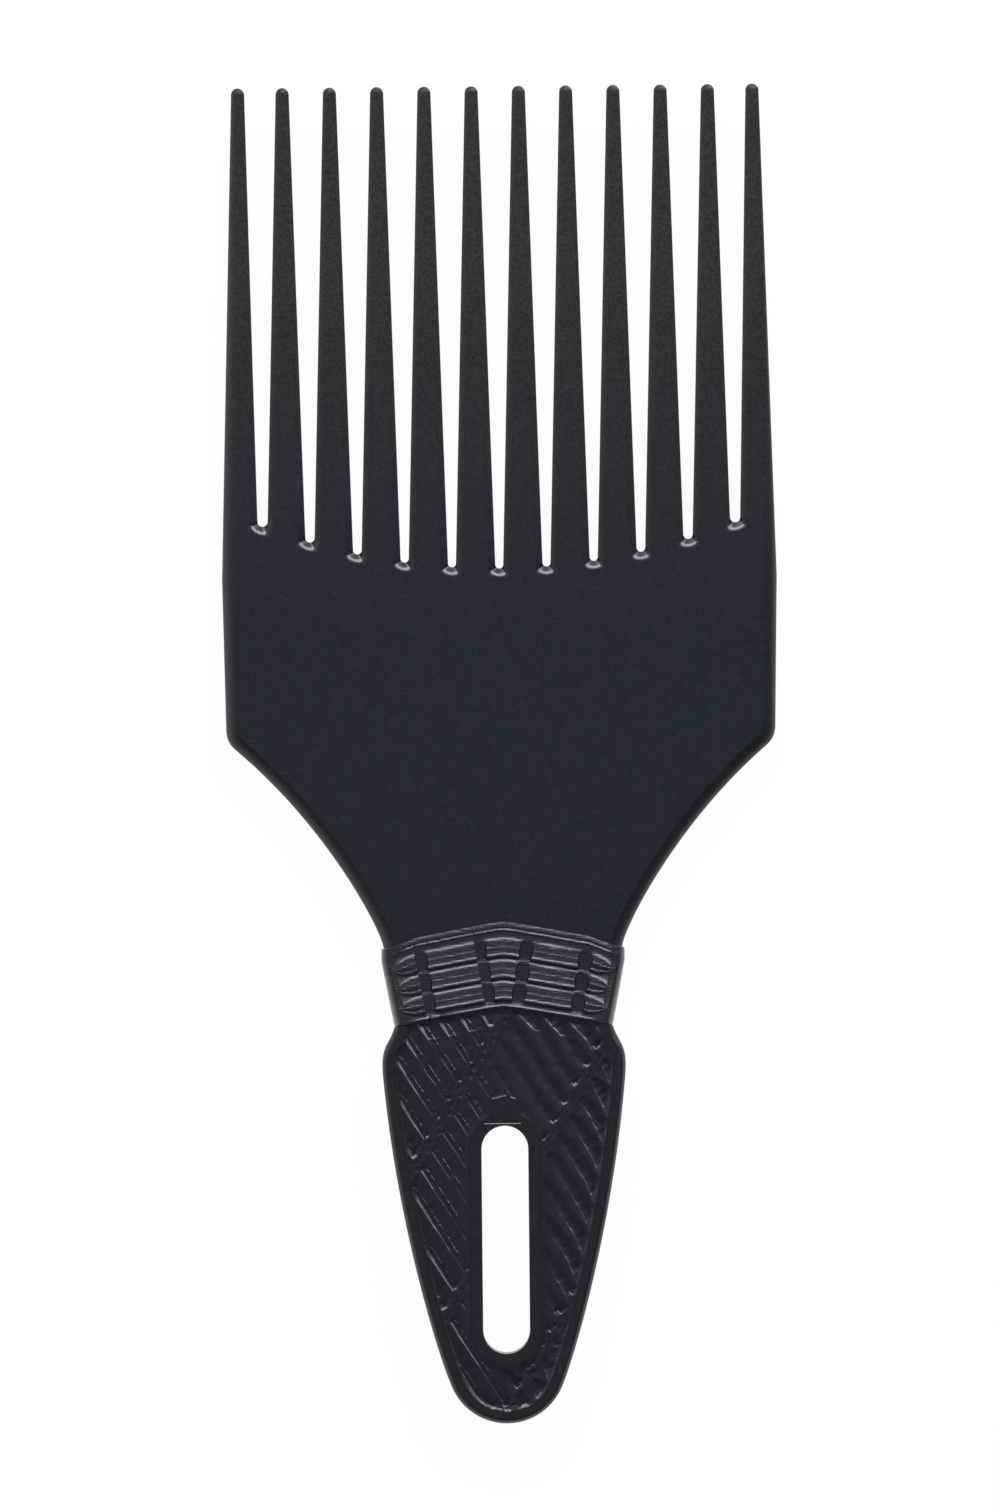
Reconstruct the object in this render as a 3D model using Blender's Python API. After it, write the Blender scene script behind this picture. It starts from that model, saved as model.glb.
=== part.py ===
"""Volumizing comb: a flat blade of twelve tapered teeth, a ribbed collar and a wrapped grip.

The comb lies flat. X runs across the teeth, +Y along the comb towards the tips, and Z through its
thickness. Every outline is drawn with y counted from the handle's end and z from the middle plane,
and each object is then placed so that the comb rests on z = 0 with its middle over the origin.
Lengths are in metres.
"""

import math

import bmesh
import bpy
from mathutils import Vector

# Overall
COMB_LENGTH = 0.2000
BLADE_THICKNESS = 0.0040
HANDLE_THICKNESS = 0.0080
PIECE_GAP = 0.0003
OVERRUN = 0.0040

# Teeth
TOOTH_COUNT = 12
TOOTH_PITCH = 0.00707
TOOTH_TIP_WIDTH = 0.00196
TOOTH_TIP_THICKNESS = 0.0021
TOOTH_EDGE_ROLL = 0.00075
TOOTH_EDGE_DROP = 0.00050
MIDDLE_TOOTH_LENGTH = 0.0722
MIDDLE_GAP_END_WIDTH = 0.00118
GAP_END_DISH = 0.00150
GAP_END_DROP = 0.00085
ROOT_ARC_RADIUS = 0.0982
OUTER_TOOTH_LEAN = 0.0004

# Head, shoulders and neck
HEAD_HALF_WIDTH = 0.0415
HEAD_WIDEST_HEIGHT = 0.1265
HEAD_FOOT_HALF_WIDTH = 0.04105
HEAD_FOOT_HEIGHT = 0.1022
HEAD_CORNER_RADIUS = 0.0037
HEAD_EDGE_ROLL = 0.0020
HEAD_EDGE_DROP = 0.0013
SHOULDER_START_HALF_WIDTH = 0.03948
SHOULDER_START_HEIGHT = 0.1008
SHOULDER_SLANT_ANGLE = math.radians(49.4)
SHOULDER_UPPER_PULL = 0.01807
SHOULDER_LOWER_PULL = 0.0022
NECK_HALF_WIDTH = 0.01785

# Tang, which runs through the collar into the handle
TANG_HALF_WIDTH = 0.0148
TANG_THICKNESS = 0.0028
TANG_END_HEIGHT = 0.0500
TANG_CHAMFER = 0.0030

# Collar
COLLAR_TOP_APEX = 0.0750
COLLAR_TOP_SIDE = 0.07105
COLLAR_FOOT_APEX = 0.0620
COLLAR_FOOT_SIDE = 0.05938
COLLAR_TOP_HALF_WIDTH = 0.0182
COLLAR_FOOT_HALF_WIDTH = 0.01633
COLLAR_STRAIGHT_SHARE = 0.16
COLLAR_STEP = 0.00035
COLLAR_TOP_SLOPE_SHARE = 0.19
CORD_COUNT = 3
CORD_WIDTH = 0.00296
CORD_HEIGHT = 0.00041
CORD_PITCH = 0.00325
FIRST_CORD_DEPTH = 0.0024
BORDER_WIDTH = 0.00076
BORDER_HEIGHT = 0.00026
BORDER_PITCH = 0.00105
NOTCH_DEPTH = 0.00025
INNER_NOTCH_PLACE = 0.0038
OUTER_NOTCH_PLACE = 0.0126
NOTCH_WIDTH = 0.0016
NOTCH_WALL = 0.00022
CORD_END = 0.0170
LEAF_START = 0.0147
LEAF_TIP = 0.0167

# Handle
END_RADIUS = 0.00893
END_SWEEP_ANGLE = math.radians(25.3)
SIDE_LOWER_PULL = 0.00413
SIDE_UPPER_PULL = 0.0229
SIDE_TOP_HALF_WIDTH = 0.01811
SIDE_TOP_HEIGHT = 0.0519
SIDE_TOP_LEAN_SHARE = 0.088
HIP_PULL = 0.00486
NECK_PULL = 0.00289
NECK_LEAN_SHARE = 0.289
HANDLE_EDGE_ROLL = 0.0015
HANDLE_EDGE_DROP = 0.0011
RIM_WIDTH = 0.00175

# Hang slot and its lip
SLOT_WIDTH = 0.0070
SLOT_LOW_END = 0.0104
SLOT_HIGH_END = 0.0445
LIP_WIDTH = 0.0018
TAB_HALF_WIDTH = 0.00185
TAB_SHOULDER_HEIGHT = 0.0484
TAB_PEAK_HEIGHT = 0.0489

# Grip panels
PANEL_THICKNESS = 0.0013
PANEL_SET_BACK = 0.00015
WRAP_ANGLE = math.radians(56.5)
WRAP_PITCH = 0.00286
WRAP_FIRST_OFFSET = -0.0002
WRAP_GROOVE_COUNT = 17
WRAP_GROOVE_WIDTH = 0.00080
WRAP_GROOVE_DEPTH = 0.00055
SEAM_ANGLE = math.radians(59.0)
SEAM_FIRST_OFFSET = -0.0014
SEAM_PITCH = 0.0151
SEAM_COUNT = 3
SEAM_BAND_WIDTH = 0.0016
SEAM_GROOVE_WIDTH = 0.0009
SEAM_GROOVE_DEPTH = 0.0006

# Fineness of the round stretches
EDGE_STEPS = 4
TIP_STEPS = 6
GAP_END_STEPS = 8
CORNER_STEPS = 5
CURVE_STEPS = 12
HIP_STEPS = 7
LEAF_STEPS = 3

# Points closer than this are one point
SAME_PLACE = 1e-9

# A cord keeps this share of its width at the tip of its leaf, squared
SMALLEST_LEAF_SHARE = 0.0025

# Edges sharper than this stay crisp
CRISP_ANGLE = math.radians(35)

# Section of one cord of the collar: place across it and height, as shares of its width and height
CORD_SECTION_SHARES = (
    (0, 0),
    (0.1, 0.41),
    (0.46, 0.58),
    (0.54, 0.78),
    (0.68, 0.66),
    (0.8, 0.7),
    (0.9, 1),
    (1, 0),
)

# Worked out from the sizes above
MID_HEIGHT = HANDLE_THICKNESS / 2
ROOT_HEIGHT = COMB_LENGTH - MIDDLE_TOOTH_LENGTH
TIP_RADIUS = TOOTH_TIP_WIDTH / 2
TIP_CENTRE_HEIGHT = COMB_LENGTH - TIP_RADIUS
COLLAR_DEPTH = COLLAR_TOP_APEX - COLLAR_FOOT_APEX
PANEL_FACE = HANDLE_THICKNESS / 2 - PANEL_SET_BACK
RECESS_FLOOR = PANEL_FACE - PANEL_THICKNESS


def arc(centre_x, centre_y, radius, first, last, steps):
    """Points of a circular arc, its angles in radians from +X."""
    points = []
    for step in range(steps + 1):
        angle = first + (last - first) * step / steps
        points.append((centre_x + radius * math.cos(angle), centre_y + radius * math.sin(angle)))
    return points


def bezier(start, first_pull, last_pull, end, steps):
    """Points of a cubic curve; the pulls are vectors from its two ends."""
    p0 = Vector(start)
    p3 = Vector(end)
    p1 = p0 + Vector(first_pull)
    p2 = p3 + Vector(last_pull)
    points = []
    for step in range(steps + 1):
        t = step / steps
        near = p0 * (1 - t) ** 3 + 3 * p1 * t * (1 - t) ** 2
        far = 3 * p2 * (1 - t) * t ** 2 + p3 * t ** 3
        points.append(tuple(near + far))
    return points


def rounded_corner(before, corner, after, radius, steps):
    """Arc that replaces the corner between two straight runs."""
    corner = Vector(corner)
    back = (Vector(before) - corner).normalized()
    ahead = (Vector(after) - corner).normalized()
    half = back.angle(ahead) / 2
    middle = (back + ahead).normalized()
    centre = corner + middle * radius / math.sin(half)
    start = corner + back * radius / math.tan(half) - centre
    end = corner + ahead * radius / math.tan(half) - centre
    points = []
    for step in range(steps + 1):
        spoke = start.lerp(end, step / steps).normalized() * radius
        points.append(tuple(centre + spoke))
    return points


def mirrored(right_side):
    """Closed outline from its right side, which runs upwards and may start on the middle line."""
    left_side = [(-x, y) for x, y in reversed(right_side) if x > SAME_PLACE]
    return right_side + left_side


def inward(outline):
    """Inward mitre of each point of a counter-clockwise outline, for an inset of one."""
    mitres = []
    for index, point in enumerate(outline):
        before = Vector(point) - Vector(outline[index - 1])
        after = Vector(outline[(index + 1) % len(outline)]) - Vector(point)
        normal_before = Vector((-before.y, before.x)).normalized()
        normal_after = Vector((-after.y, after.x)).normalized()
        mitres.append((normal_before + normal_after) / (1 + normal_before.dot(normal_after)))
    return mitres


def place(name, bm, material=None):
    """Object from a bmesh drawn about the middle plane, set down on the comb's own resting plane."""
    bmesh.ops.recalc_face_normals(bm, faces=bm.faces)
    mesh = bpy.data.meshes.new(name)
    bm.to_mesh(mesh)
    bm.free()
    return place_mesh(name, mesh, material)


def place_mesh(name, mesh, material=None):
    obj = bpy.data.objects.new(name, mesh)
    obj.location = (0, -COMB_LENGTH / 2, MID_HEIGHT)
    bpy.context.scene.collection.objects.link(obj)
    if material:
        mesh.materials.append(material)
    return obj


def combine(obj, other, operation):
    """Boolean of a piece with a helper solid, which is left out of the model itself."""
    other.hide_render = True
    other.display_type = "WIRE"
    modifier = obj.modifiers.new(other.name, "BOOLEAN")
    modifier.operation = operation
    modifier.solver = "EXACT"
    modifier.object = other


def settle(obj):
    """Turns a piece's modifiers into its own mesh, so that a copy can share it."""
    graph = bpy.context.evaluated_depsgraph_get()
    obj.data = bpy.data.meshes.new_from_object(obj.evaluated_get(graph))
    obj.modifiers.clear()


def shade(obj):
    """Smooth rounds and crisp edges, with the large flat faces shaded flat."""
    obj.data.shade_smooth()
    obj.data.set_sharp_from_angle(angle=CRISP_ANGLE)
    modifier = obj.modifiers.new("flat_faces", "WEIGHTED_NORMAL")
    modifier.keep_sharp = True


def prism(name, outline, low, high):
    """Straight solid between two heights."""
    bm = bmesh.new()
    floor = [bm.verts.new((x, y, low)) for x, y in outline]
    face = bm.faces.new(floor)
    grown = bmesh.ops.extrude_face_region(bm, geom=[face])["geom"]
    raised = [item for item in grown if isinstance(item, bmesh.types.BMVert)]
    bmesh.ops.translate(bm, verts=raised, vec=(0, 0, high - low))
    return place(name, bm)


def rolled_solid(outline, rolls, half_thickness):
    """Plate whose edge bends down from both faces, by a width and a drop of its own at each point."""
    bm = bmesh.new()
    mitres = inward(outline)
    rings = []
    for step in range(EDGE_STEPS + 1):
        share = step / EDGE_STEPS
        ring = []
        for point, mitre, (width, drop) in zip(outline, mitres, rolls):
            x, y = Vector(point) + mitre * width * share
            ring.append((x, y, half_thickness - drop * (1 - share) ** 2))
        rings.append(ring)
    layers = [[(x, y, -z) for x, y, z in ring] for ring in reversed(rings)] + rings
    verts = [[bm.verts.new(corner) for corner in layer] for layer in layers]
    for lower, upper in zip(verts, verts[1:]):
        for index in range(len(lower)):
            after = (index + 1) % len(lower)
            bm.faces.new((lower[index], lower[after], upper[after], upper[index]))
    bm.faces.new(reversed(verts[0]))
    bm.faces.new(verts[-1])
    return bm


def collar_top(x):
    """Height of the collar's upper edge: a chevron that drops to level shoulders at its ends."""
    x = abs(x)
    if x >= CORD_END:
        return COLLAR_TOP_SIDE
    chevron = COLLAR_TOP_APEX - COLLAR_TOP_SLOPE_SHARE * min(x, LEAF_START)
    fall = max(0, x - LEAF_START) / (CORD_END - LEAF_START)
    return chevron + (COLLAR_TOP_SIDE - chevron) * fall


def collar_foot(x):
    """Height of the collar's lower edge, a plain chevron."""
    return COLLAR_FOOT_APEX - (COLLAR_FOOT_APEX - COLLAR_FOOT_SIDE) * abs(x) / COLLAR_FOOT_HALF_WIDTH


def tooth_width(height):
    """Width of a middle tooth at a height, from its root to the centre of its round tip."""
    root_width = TOOTH_PITCH - MIDDLE_GAP_END_WIDTH
    share = (TIP_CENTRE_HEIGHT - height) / (TIP_CENTRE_HEIGHT - ROOT_HEIGHT)
    return TOOTH_TIP_WIDTH + (root_width - TOOTH_TIP_WIDTH) * share


def gap_end(gap):
    """Centre and radius of the round end of one gap; the ends lie on a shallow arc."""
    x = (gap - TOOTH_COUNT / 2) * TOOTH_PITCH
    y = ROOT_HEIGHT + ROOT_ARC_RADIUS - math.sqrt(ROOT_ARC_RADIUS ** 2 - x ** 2)
    radius = (TOOTH_PITCH - tooth_width(y)) / 2
    return x, y + radius, radius


def blade_outline():
    """Outline of the blade and the width and drop of its edge at each point."""
    right = bezier(
        (NECK_HALF_WIDTH, COLLAR_TOP_SIDE),
        (0, SHOULDER_LOWER_PULL),
        (-SHOULDER_UPPER_PULL * math.sin(SHOULDER_SLANT_ANGLE), -SHOULDER_UPPER_PULL * math.cos(SHOULDER_SLANT_ANGLE)),
        (SHOULDER_START_HALF_WIDTH, SHOULDER_START_HEIGHT),
        CURVE_STEPS,
    )
    neck_foot = (NECK_HALF_WIDTH, COLLAR_TOP_SIDE - OVERRUN)
    corner = (HEAD_FOOT_HALF_WIDTH, HEAD_FOOT_HEIGHT)
    widest = (HEAD_HALF_WIDTH, HEAD_WIDEST_HEIGHT)
    right = [neck_foot] + right[:-1] + rounded_corner(right[-2], corner, widest, HEAD_CORNER_RADIUS, CORNER_STEPS)
    right.append(widest)
    rolls = [(HEAD_EDGE_ROLL, HEAD_EDGE_DROP)] * len(right)

    crown = []
    crown_rolls = []
    for tooth in range(TOOTH_COUNT - 1, -1, -1):
        x = (tooth + 0.5 - TOOTH_COUNT / 2) * TOOTH_PITCH
        if tooth in (0, TOOTH_COUNT - 1):
            x -= math.copysign(OUTER_TOOTH_LEAN, x)
        crown += arc(x, TIP_CENTRE_HEIGHT, TIP_RADIUS, 0, math.pi, TIP_STEPS)
        crown_rolls += [(TOOTH_EDGE_ROLL, TOOTH_EDGE_DROP)] * (TIP_STEPS + 1)
        if tooth:
            gap_x, gap_y, radius = gap_end(tooth)
            crown += arc(gap_x, gap_y, radius, 0, -math.pi, GAP_END_STEPS)
            lean = math.asin(gap_x / ROOT_ARC_RADIUS)
            for step in range(GAP_END_STEPS + 1):
                angle = math.pi * (step / GAP_END_STEPS - 0.5) - lean
                dish_share = max(0, math.cos(angle)) ** 1.5
                width = TOOTH_EDGE_ROLL + (GAP_END_DISH - TOOTH_EDGE_ROLL) * dish_share
                drop = TOOTH_EDGE_DROP + (GAP_END_DROP - TOOTH_EDGE_DROP) * dish_share
                crown_rolls.append((width, drop))

    left = [(-x, y) for x, y in reversed(right)]
    return right + crown + left, rolls + crown_rolls + list(reversed(rolls))


def make_blade(material):
    """Head, teeth and neck in one plate, thinned towards the tips, with the tang joined on."""
    outline, rolls = blade_outline()
    bm = rolled_solid(outline, rolls, BLADE_THICKNESS / 2)

    outer_gap_end = max(gap_end(gap)[1] for gap in range(1, TOOTH_COUNT))
    everything = bm.verts[:] + bm.edges[:] + bm.faces[:]
    bmesh.ops.bisect_plane(bm, geom=everything, plane_co=(0, outer_gap_end, 0), plane_no=(0, 1, 0))
    tip_share = TOOTH_TIP_THICKNESS / BLADE_THICKNESS
    for vert in bm.verts:
        run = max(0, vert.co.y - outer_gap_end) / (COMB_LENGTH - outer_gap_end)
        vert.co.z *= 1 - (1 - tip_share) * run
    blade = place("comb_blade", bm, material)

    reach = COLLAR_TOP_HALF_WIDTH + OVERRUN
    seat = [(reach, COLLAR_FOOT_SIDE)]
    seat += [(x, collar_top(x) + PIECE_GAP) for x in (reach, CORD_END, LEAF_START)]
    seat += [(0, collar_top(0) + PIECE_GAP)]
    seat += [(-x, y) for x, y in reversed(seat[:-1])]
    combine(blade, prism("collar_seat", seat, -BLADE_THICKNESS, BLADE_THICKNESS), "DIFFERENCE")

    tang_top = COLLAR_TOP_APEX + OVERRUN
    tang = [
        (TANG_HALF_WIDTH - TANG_CHAMFER, TANG_END_HEIGHT),
        (TANG_HALF_WIDTH, TANG_END_HEIGHT + TANG_CHAMFER),
        (TANG_HALF_WIDTH, tang_top),
    ]
    combine(blade, prism("tang", mirrored(tang), -TANG_THICKNESS / 2, TANG_THICKNESS / 2), "UNION")
    settle(blade)
    shade(blade)
    return blade


def cord_profile():
    """Steps down the collar from its upper edge: depth, height and, on a cord, the depth of its middle."""
    steps = [(0, 0, None)]
    for border in range(2):
        crest = BORDER_WIDTH / 2 + border * BORDER_PITCH
        steps.append((crest, BORDER_HEIGHT, None))
        steps.append((crest + BORDER_PITCH / 2, 0, None))
    for cord in range(CORD_COUNT):
        top = FIRST_CORD_DEPTH + cord * CORD_PITCH
        for place_share, height_share in CORD_SECTION_SHARES:
            steps.append((top + CORD_WIDTH * place_share, CORD_HEIGHT * height_share, top + CORD_WIDTH / 2))
    steps.append((COLLAR_DEPTH - BORDER_WIDTH, BORDER_HEIGHT, None))
    steps.append((COLLAR_DEPTH, 0, None))
    return steps


def collar_columns():
    """Steps across a quarter of the collar: place, share of the thickness and share of a cord's relief."""
    columns = [(0, 1, 1)]
    for middle in (INNER_NOTCH_PLACE, OUTER_NOTCH_PLACE):
        half = NOTCH_WIDTH / 2
        columns.append((middle - half, 1, 1))
        columns.append((middle - half + NOTCH_WALL, 1, 0))
        columns.append((middle + half - NOTCH_WALL, 1, 0))
        columns.append((middle + half, 1, 1))
    for step in range(LEAF_STEPS + 1):
        columns.append((LEAF_START + (LEAF_TIP - LEAF_START) * step / LEAF_STEPS, 1, 1))
    columns.append((CORD_END, 1, None))
    side = COLLAR_TOP_HALF_WIDTH - CORD_END
    for step in range(1, EDGE_STEPS + 1):
        angle = math.pi / 2 * step / (EDGE_STEPS + 1)
        columns.append((CORD_END + side * math.sin(angle), math.cos(angle), None))
    return columns


def collar_point(column, step, x_sign, z_sign):
    """Point of the collar's outer skin."""
    place_x, thickness_share, relief = column
    depth, bump, cord_middle = step
    if cord_middle:
        leaf = 1 - max(0, place_x - LEAF_START) / (LEAF_TIP - LEAF_START)
        leaf = math.sqrt(max(SMALLEST_LEAF_SHARE, leaf))
        depth = cord_middle + (depth - cord_middle) * leaf
        bump *= leaf
    narrowing = COLLAR_TOP_HALF_WIDTH - COLLAR_FOOT_HALF_WIDTH
    narrowing *= max(0, depth / COLLAR_DEPTH - COLLAR_STRAIGHT_SHARE) / (1 - COLLAR_STRAIGHT_SHARE)
    x = place_x - narrowing * min(1, place_x / (INNER_NOTCH_PLACE - NOTCH_WIDTH / 2))
    y = collar_top(place_x) + (collar_foot(x) - collar_top(place_x)) * depth / COLLAR_DEPTH
    face_top = BLADE_THICKNESS / 2 + COLLAR_STEP
    face_foot = HANDLE_THICKNESS / 2 - BORDER_HEIGHT
    z = (face_top + (face_foot - face_top) * depth / COLLAR_DEPTH) * thickness_share
    if relief is not None:
        z += bump * relief if cord_middle else bump
        if cord_middle and relief == 0:
            z -= NOTCH_DEPTH
    return x_sign * x, y, z_sign * z


def make_collar(material):
    """Ring round the neck: a skin lofted down the profile, closed by the tunnel for the tang."""
    columns = collar_columns()
    order = [(column, 1, 1) for column in columns]
    order += [(column, 1, -1) for column in reversed(columns)]
    order += [(column, -1, -1) for column in columns[1:]]
    order += [(column, -1, 1) for column in reversed(columns[1:])]
    steps = cord_profile()
    loops = [[collar_point(column, step, sx, sz) for column, sx, sz in order] for step in steps]

    tunnel_half = TANG_HALF_WIDTH + PIECE_GAP
    tunnel_height = TANG_THICKNESS / 2 + PIECE_GAP
    upper = []
    lower = []
    for index, (column, x_sign, z_sign) in enumerate(order):
        x = x_sign * tunnel_half * min(1, column[0] / CORD_END)
        z = z_sign * tunnel_height * column[1]
        upper.append((x, loops[0][index][1], z))
        lower.append((x, collar_foot(x), z))
    loops = [upper] + loops + [lower]

    bm = bmesh.new()
    verts = [[bm.verts.new(corner) for corner in loop] for loop in loops]
    for first, second in zip(verts, verts[1:] + verts[:1]):
        for index in range(len(order)):
            after = (index + 1) % len(order)
            bm.faces.new((first[index], first[after], second[after], second[index]))
    collar = place("collar", bm, material)
    shade(collar)
    return collar


def handle_side(inset):
    """Right side of the handle, from the middle of its end up to the neck, drawn in by an inset."""
    sweep = END_SWEEP_ANGLE
    side = arc(0, END_RADIUS, END_RADIUS, -math.pi / 2, -sweep, CURVE_STEPS)
    side_top = (SIDE_TOP_HALF_WIDTH, SIDE_TOP_HEIGHT)
    side += bezier(
        side[-1],
        (SIDE_LOWER_PULL * math.sin(sweep), SIDE_LOWER_PULL * math.cos(sweep)),
        (-SIDE_UPPER_PULL * SIDE_TOP_LEAN_SHARE, -SIDE_UPPER_PULL),
        side_top,
        CURVE_STEPS,
    )[1:]
    neck = (COLLAR_FOOT_HALF_WIDTH, COLLAR_FOOT_SIDE)
    side += bezier(
        side_top,
        (HIP_PULL * SIDE_TOP_LEAN_SHARE, HIP_PULL),
        (NECK_PULL * NECK_LEAN_SHARE, -NECK_PULL),
        neck,
        HIP_STEPS,
    )[1:]
    side.append((COLLAR_FOOT_HALF_WIDTH, COLLAR_TOP_APEX))
    if inset == 0:
        return side
    mitres = inward(mirrored(side))
    drawn_in = [tuple(Vector(point) + mitre * inset) for point, mitre in zip(side, mitres)]
    drawn_in[0] = (0, inset)
    drawn_in[-1] = (COLLAR_FOOT_HALF_WIDTH - inset, COLLAR_TOP_APEX)
    return drawn_in


def slot_outline():
    """The hang slot, straight sided with round ends."""
    radius = SLOT_WIDTH / 2
    right = arc(0, SLOT_LOW_END + radius, radius, -math.pi / 2, 0, TIP_STEPS)
    right += arc(0, SLOT_HIGH_END - radius, radius, 0, math.pi / 2, TIP_STEPS)[:-1]
    outline = mirrored(right)
    outline.insert(len(right), (0, SLOT_HIGH_END))
    return outline


def lip_outline(width):
    """The raised lip round the slot, with the small peaked tab above it."""
    radius = SLOT_WIDTH / 2 + width
    grown = width - LIP_WIDTH
    tab_half = TAB_HALF_WIDTH + grown
    right = arc(0, SLOT_LOW_END + SLOT_WIDTH / 2, radius, -math.pi / 2, 0, TIP_STEPS)
    right += arc(0, SLOT_HIGH_END - SLOT_WIDTH / 2, radius, 0, math.acos(tab_half / radius), TIP_STEPS)
    right.append((tab_half, TAB_SHOULDER_HEIGHT + grown))
    outline = mirrored(right)
    outline.insert(len(right), (0, TAB_PEAK_HEIGHT + grown))
    return outline


def make_handle(material):
    """Rim and core, with the slot, the tang's socket and a recess for each grip panel."""
    outline = mirrored(handle_side(0))
    rolls = [(HANDLE_EDGE_ROLL, HANDLE_EDGE_DROP)] * len(outline)
    handle = place("handle_body", rolled_solid(outline, rolls, HANDLE_THICKNESS / 2), material)

    reach = COLLAR_TOP_HALF_WIDTH + OVERRUN
    above = [(reach, collar_foot(reach) - PIECE_GAP), (reach, COLLAR_TOP_APEX + OVERRUN)]
    above = mirrored(above)
    above.append((0, collar_foot(0) - PIECE_GAP))
    combine(handle, prism("collar_zone", above, -HANDLE_THICKNESS, HANDLE_THICKNESS), "DIFFERENCE")

    socket_half = TANG_HALF_WIDTH + PIECE_GAP
    socket_height = TANG_THICKNESS / 2 + PIECE_GAP
    socket = mirrored([
        (socket_half - TANG_CHAMFER, TANG_END_HEIGHT - PIECE_GAP),
        (socket_half, TANG_END_HEIGHT - PIECE_GAP + TANG_CHAMFER),
        (socket_half, COLLAR_TOP_APEX),
    ])
    combine(handle, prism("tang_socket", socket, -socket_height, socket_height), "DIFFERENCE")
    combine(handle, prism("hang_slot", slot_outline(), -HANDLE_THICKNESS, HANDLE_THICKNESS), "DIFFERENCE")

    front = prism("front_recess", mirrored(handle_side(RIM_WIDTH)), RECESS_FLOOR, HANDLE_THICKNESS)
    combine(front, prism("slot_lip", lip_outline(LIP_WIDTH), 0, HANDLE_THICKNESS + OVERRUN), "DIFFERENCE")
    settle(front)
    rear = place_mesh("rear_recess", front.data)
    rear.rotation_euler = (0, math.pi, 0)
    combine(handle, front, "DIFFERENCE")
    combine(handle, rear, "DIFFERENCE")
    settle(handle)
    shade(handle)
    return handle


def add_groove(bm, start, end, width, depth):
    """Closed V-shaped bar that cuts one groove into a panel's face."""
    start = Vector(start)
    end = Vector(end)
    along = (end - start).normalized()
    across = Vector((-along.y, along.x))
    lift = OVERRUN
    half = width / 2 * (depth + lift) / depth
    corners = []
    for point in (start, end):
        for side, height in ((-half, PANEL_FACE + lift), (half, PANEL_FACE + lift), (0, PANEL_FACE - depth)):
            place_x, place_y = point + across * side
            corners.append(bm.verts.new((place_x, place_y, height)))
    left, right, foot, far_left, far_right, far_foot = corners
    bm.faces.new((left, right, foot))
    bm.faces.new((far_left, far_foot, far_right))
    bm.faces.new((left, far_left, far_right, right))
    bm.faces.new((right, far_right, far_foot, foot))
    bm.faces.new((foot, far_foot, far_left, left))


def wrap_grooves():
    """Grooves between the turns of the wrap, broken at each seam, and the seams themselves."""
    bm = bmesh.new()
    turn = Vector((math.cos(WRAP_ANGLE), -math.sin(WRAP_ANGLE)))
    turn_normal = Vector((math.sin(WRAP_ANGLE), math.cos(WRAP_ANGLE)))
    seam = Vector((math.cos(SEAM_ANGLE), math.sin(SEAM_ANGLE)))
    seam_normal = Vector((math.sin(SEAM_ANGLE), -math.cos(SEAM_ANGLE)))
    seams = [SEAM_FIRST_OFFSET - SEAM_PITCH * index for index in range(SEAM_COUNT)]
    breaks = [seams[-1] - SEAM_PITCH * 2] + seams[::-1] + [seams[0] + SEAM_PITCH * 2]
    for index in range(WRAP_GROOVE_COUNT):
        foot = turn_normal * (WRAP_FIRST_OFFSET + WRAP_PITCH * index)
        for low, high in zip(breaks, breaks[1:]):
            ends = []
            for offset in (low + SEAM_BAND_WIDTH / 2, high - SEAM_BAND_WIDTH / 2):
                reach = (offset - foot.dot(seam_normal)) / turn.dot(seam_normal)
                ends.append(foot + turn * reach)
            add_groove(bm, ends[0], ends[1], WRAP_GROOVE_WIDTH, WRAP_GROOVE_DEPTH)
    for offset in seams:
        foot = seam_normal * offset
        add_groove(bm, foot - seam * OVERRUN, foot + seam * COLLAR_TOP_APEX, SEAM_GROOVE_WIDTH, SEAM_GROOVE_DEPTH)
    return place("wrap_grooves", bm)


def make_panels(material):
    """The two grip panels: one mesh, used as it is in front and turned over behind."""
    side = handle_side(RIM_WIDTH + PIECE_GAP)
    outline = mirrored(side)
    front = prism("front_grip_panel", outline, RECESS_FLOOR, PANEL_FACE)
    front.data.materials.append(material)

    reach = COLLAR_TOP_HALF_WIDTH + OVERRUN
    above = mirrored([(reach, collar_foot(reach) - PIECE_GAP), (reach, COLLAR_TOP_APEX + OVERRUN)])
    above.append((0, collar_foot(0) - PIECE_GAP))
    combine(front, prism("panel_top", above, 0, HANDLE_THICKNESS), "DIFFERENCE")
    combine(front, prism("panel_hole", lip_outline(LIP_WIDTH + PIECE_GAP), 0, HANDLE_THICKNESS), "DIFFERENCE")
    combine(front, wrap_grooves(), "DIFFERENCE")
    settle(front)
    shade(front)

    rear = place_mesh("rear_grip_panel", front.data)
    rear.rotation_euler = (0, math.pi, 0)
    shade(rear)
    return front, rear


def plastic(name, colour, roughness):
    material = bpy.data.materials.new(name)
    material.use_nodes = True
    shader = material.node_tree.nodes["Principled BSDF"]
    shader.inputs["Base Color"].default_value = colour
    shader.inputs["Roughness"].default_value = roughness
    shader.inputs["Metallic"].default_value = 0
    return material


def main():
    for obj in list(bpy.data.objects):
        bpy.data.objects.remove(obj)
    make_blade(plastic("blade_nylon", (0.020, 0.021, 0.024, 1), 0.50))
    make_collar(plastic("collar_nylon", (0.022, 0.023, 0.028, 1), 0.35))
    make_handle(plastic("handle_nylon", (0.018, 0.019, 0.022, 1), 0.40))
    make_panels(plastic("grip_nylon", (0.020, 0.021, 0.024, 1), 0.42))


main()
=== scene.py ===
"""Volumizing comb of black nylon, seen from straight above on a white ground.

The comb lies flat. X runs across the teeth, +Y along the comb towards the tips, and Z up through its
thickness. Outlines are drawn with y counted from the handle's end and z from the middle plane, and
each piece is then set down in the frame's own place. Lengths are in metres.
"""

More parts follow.
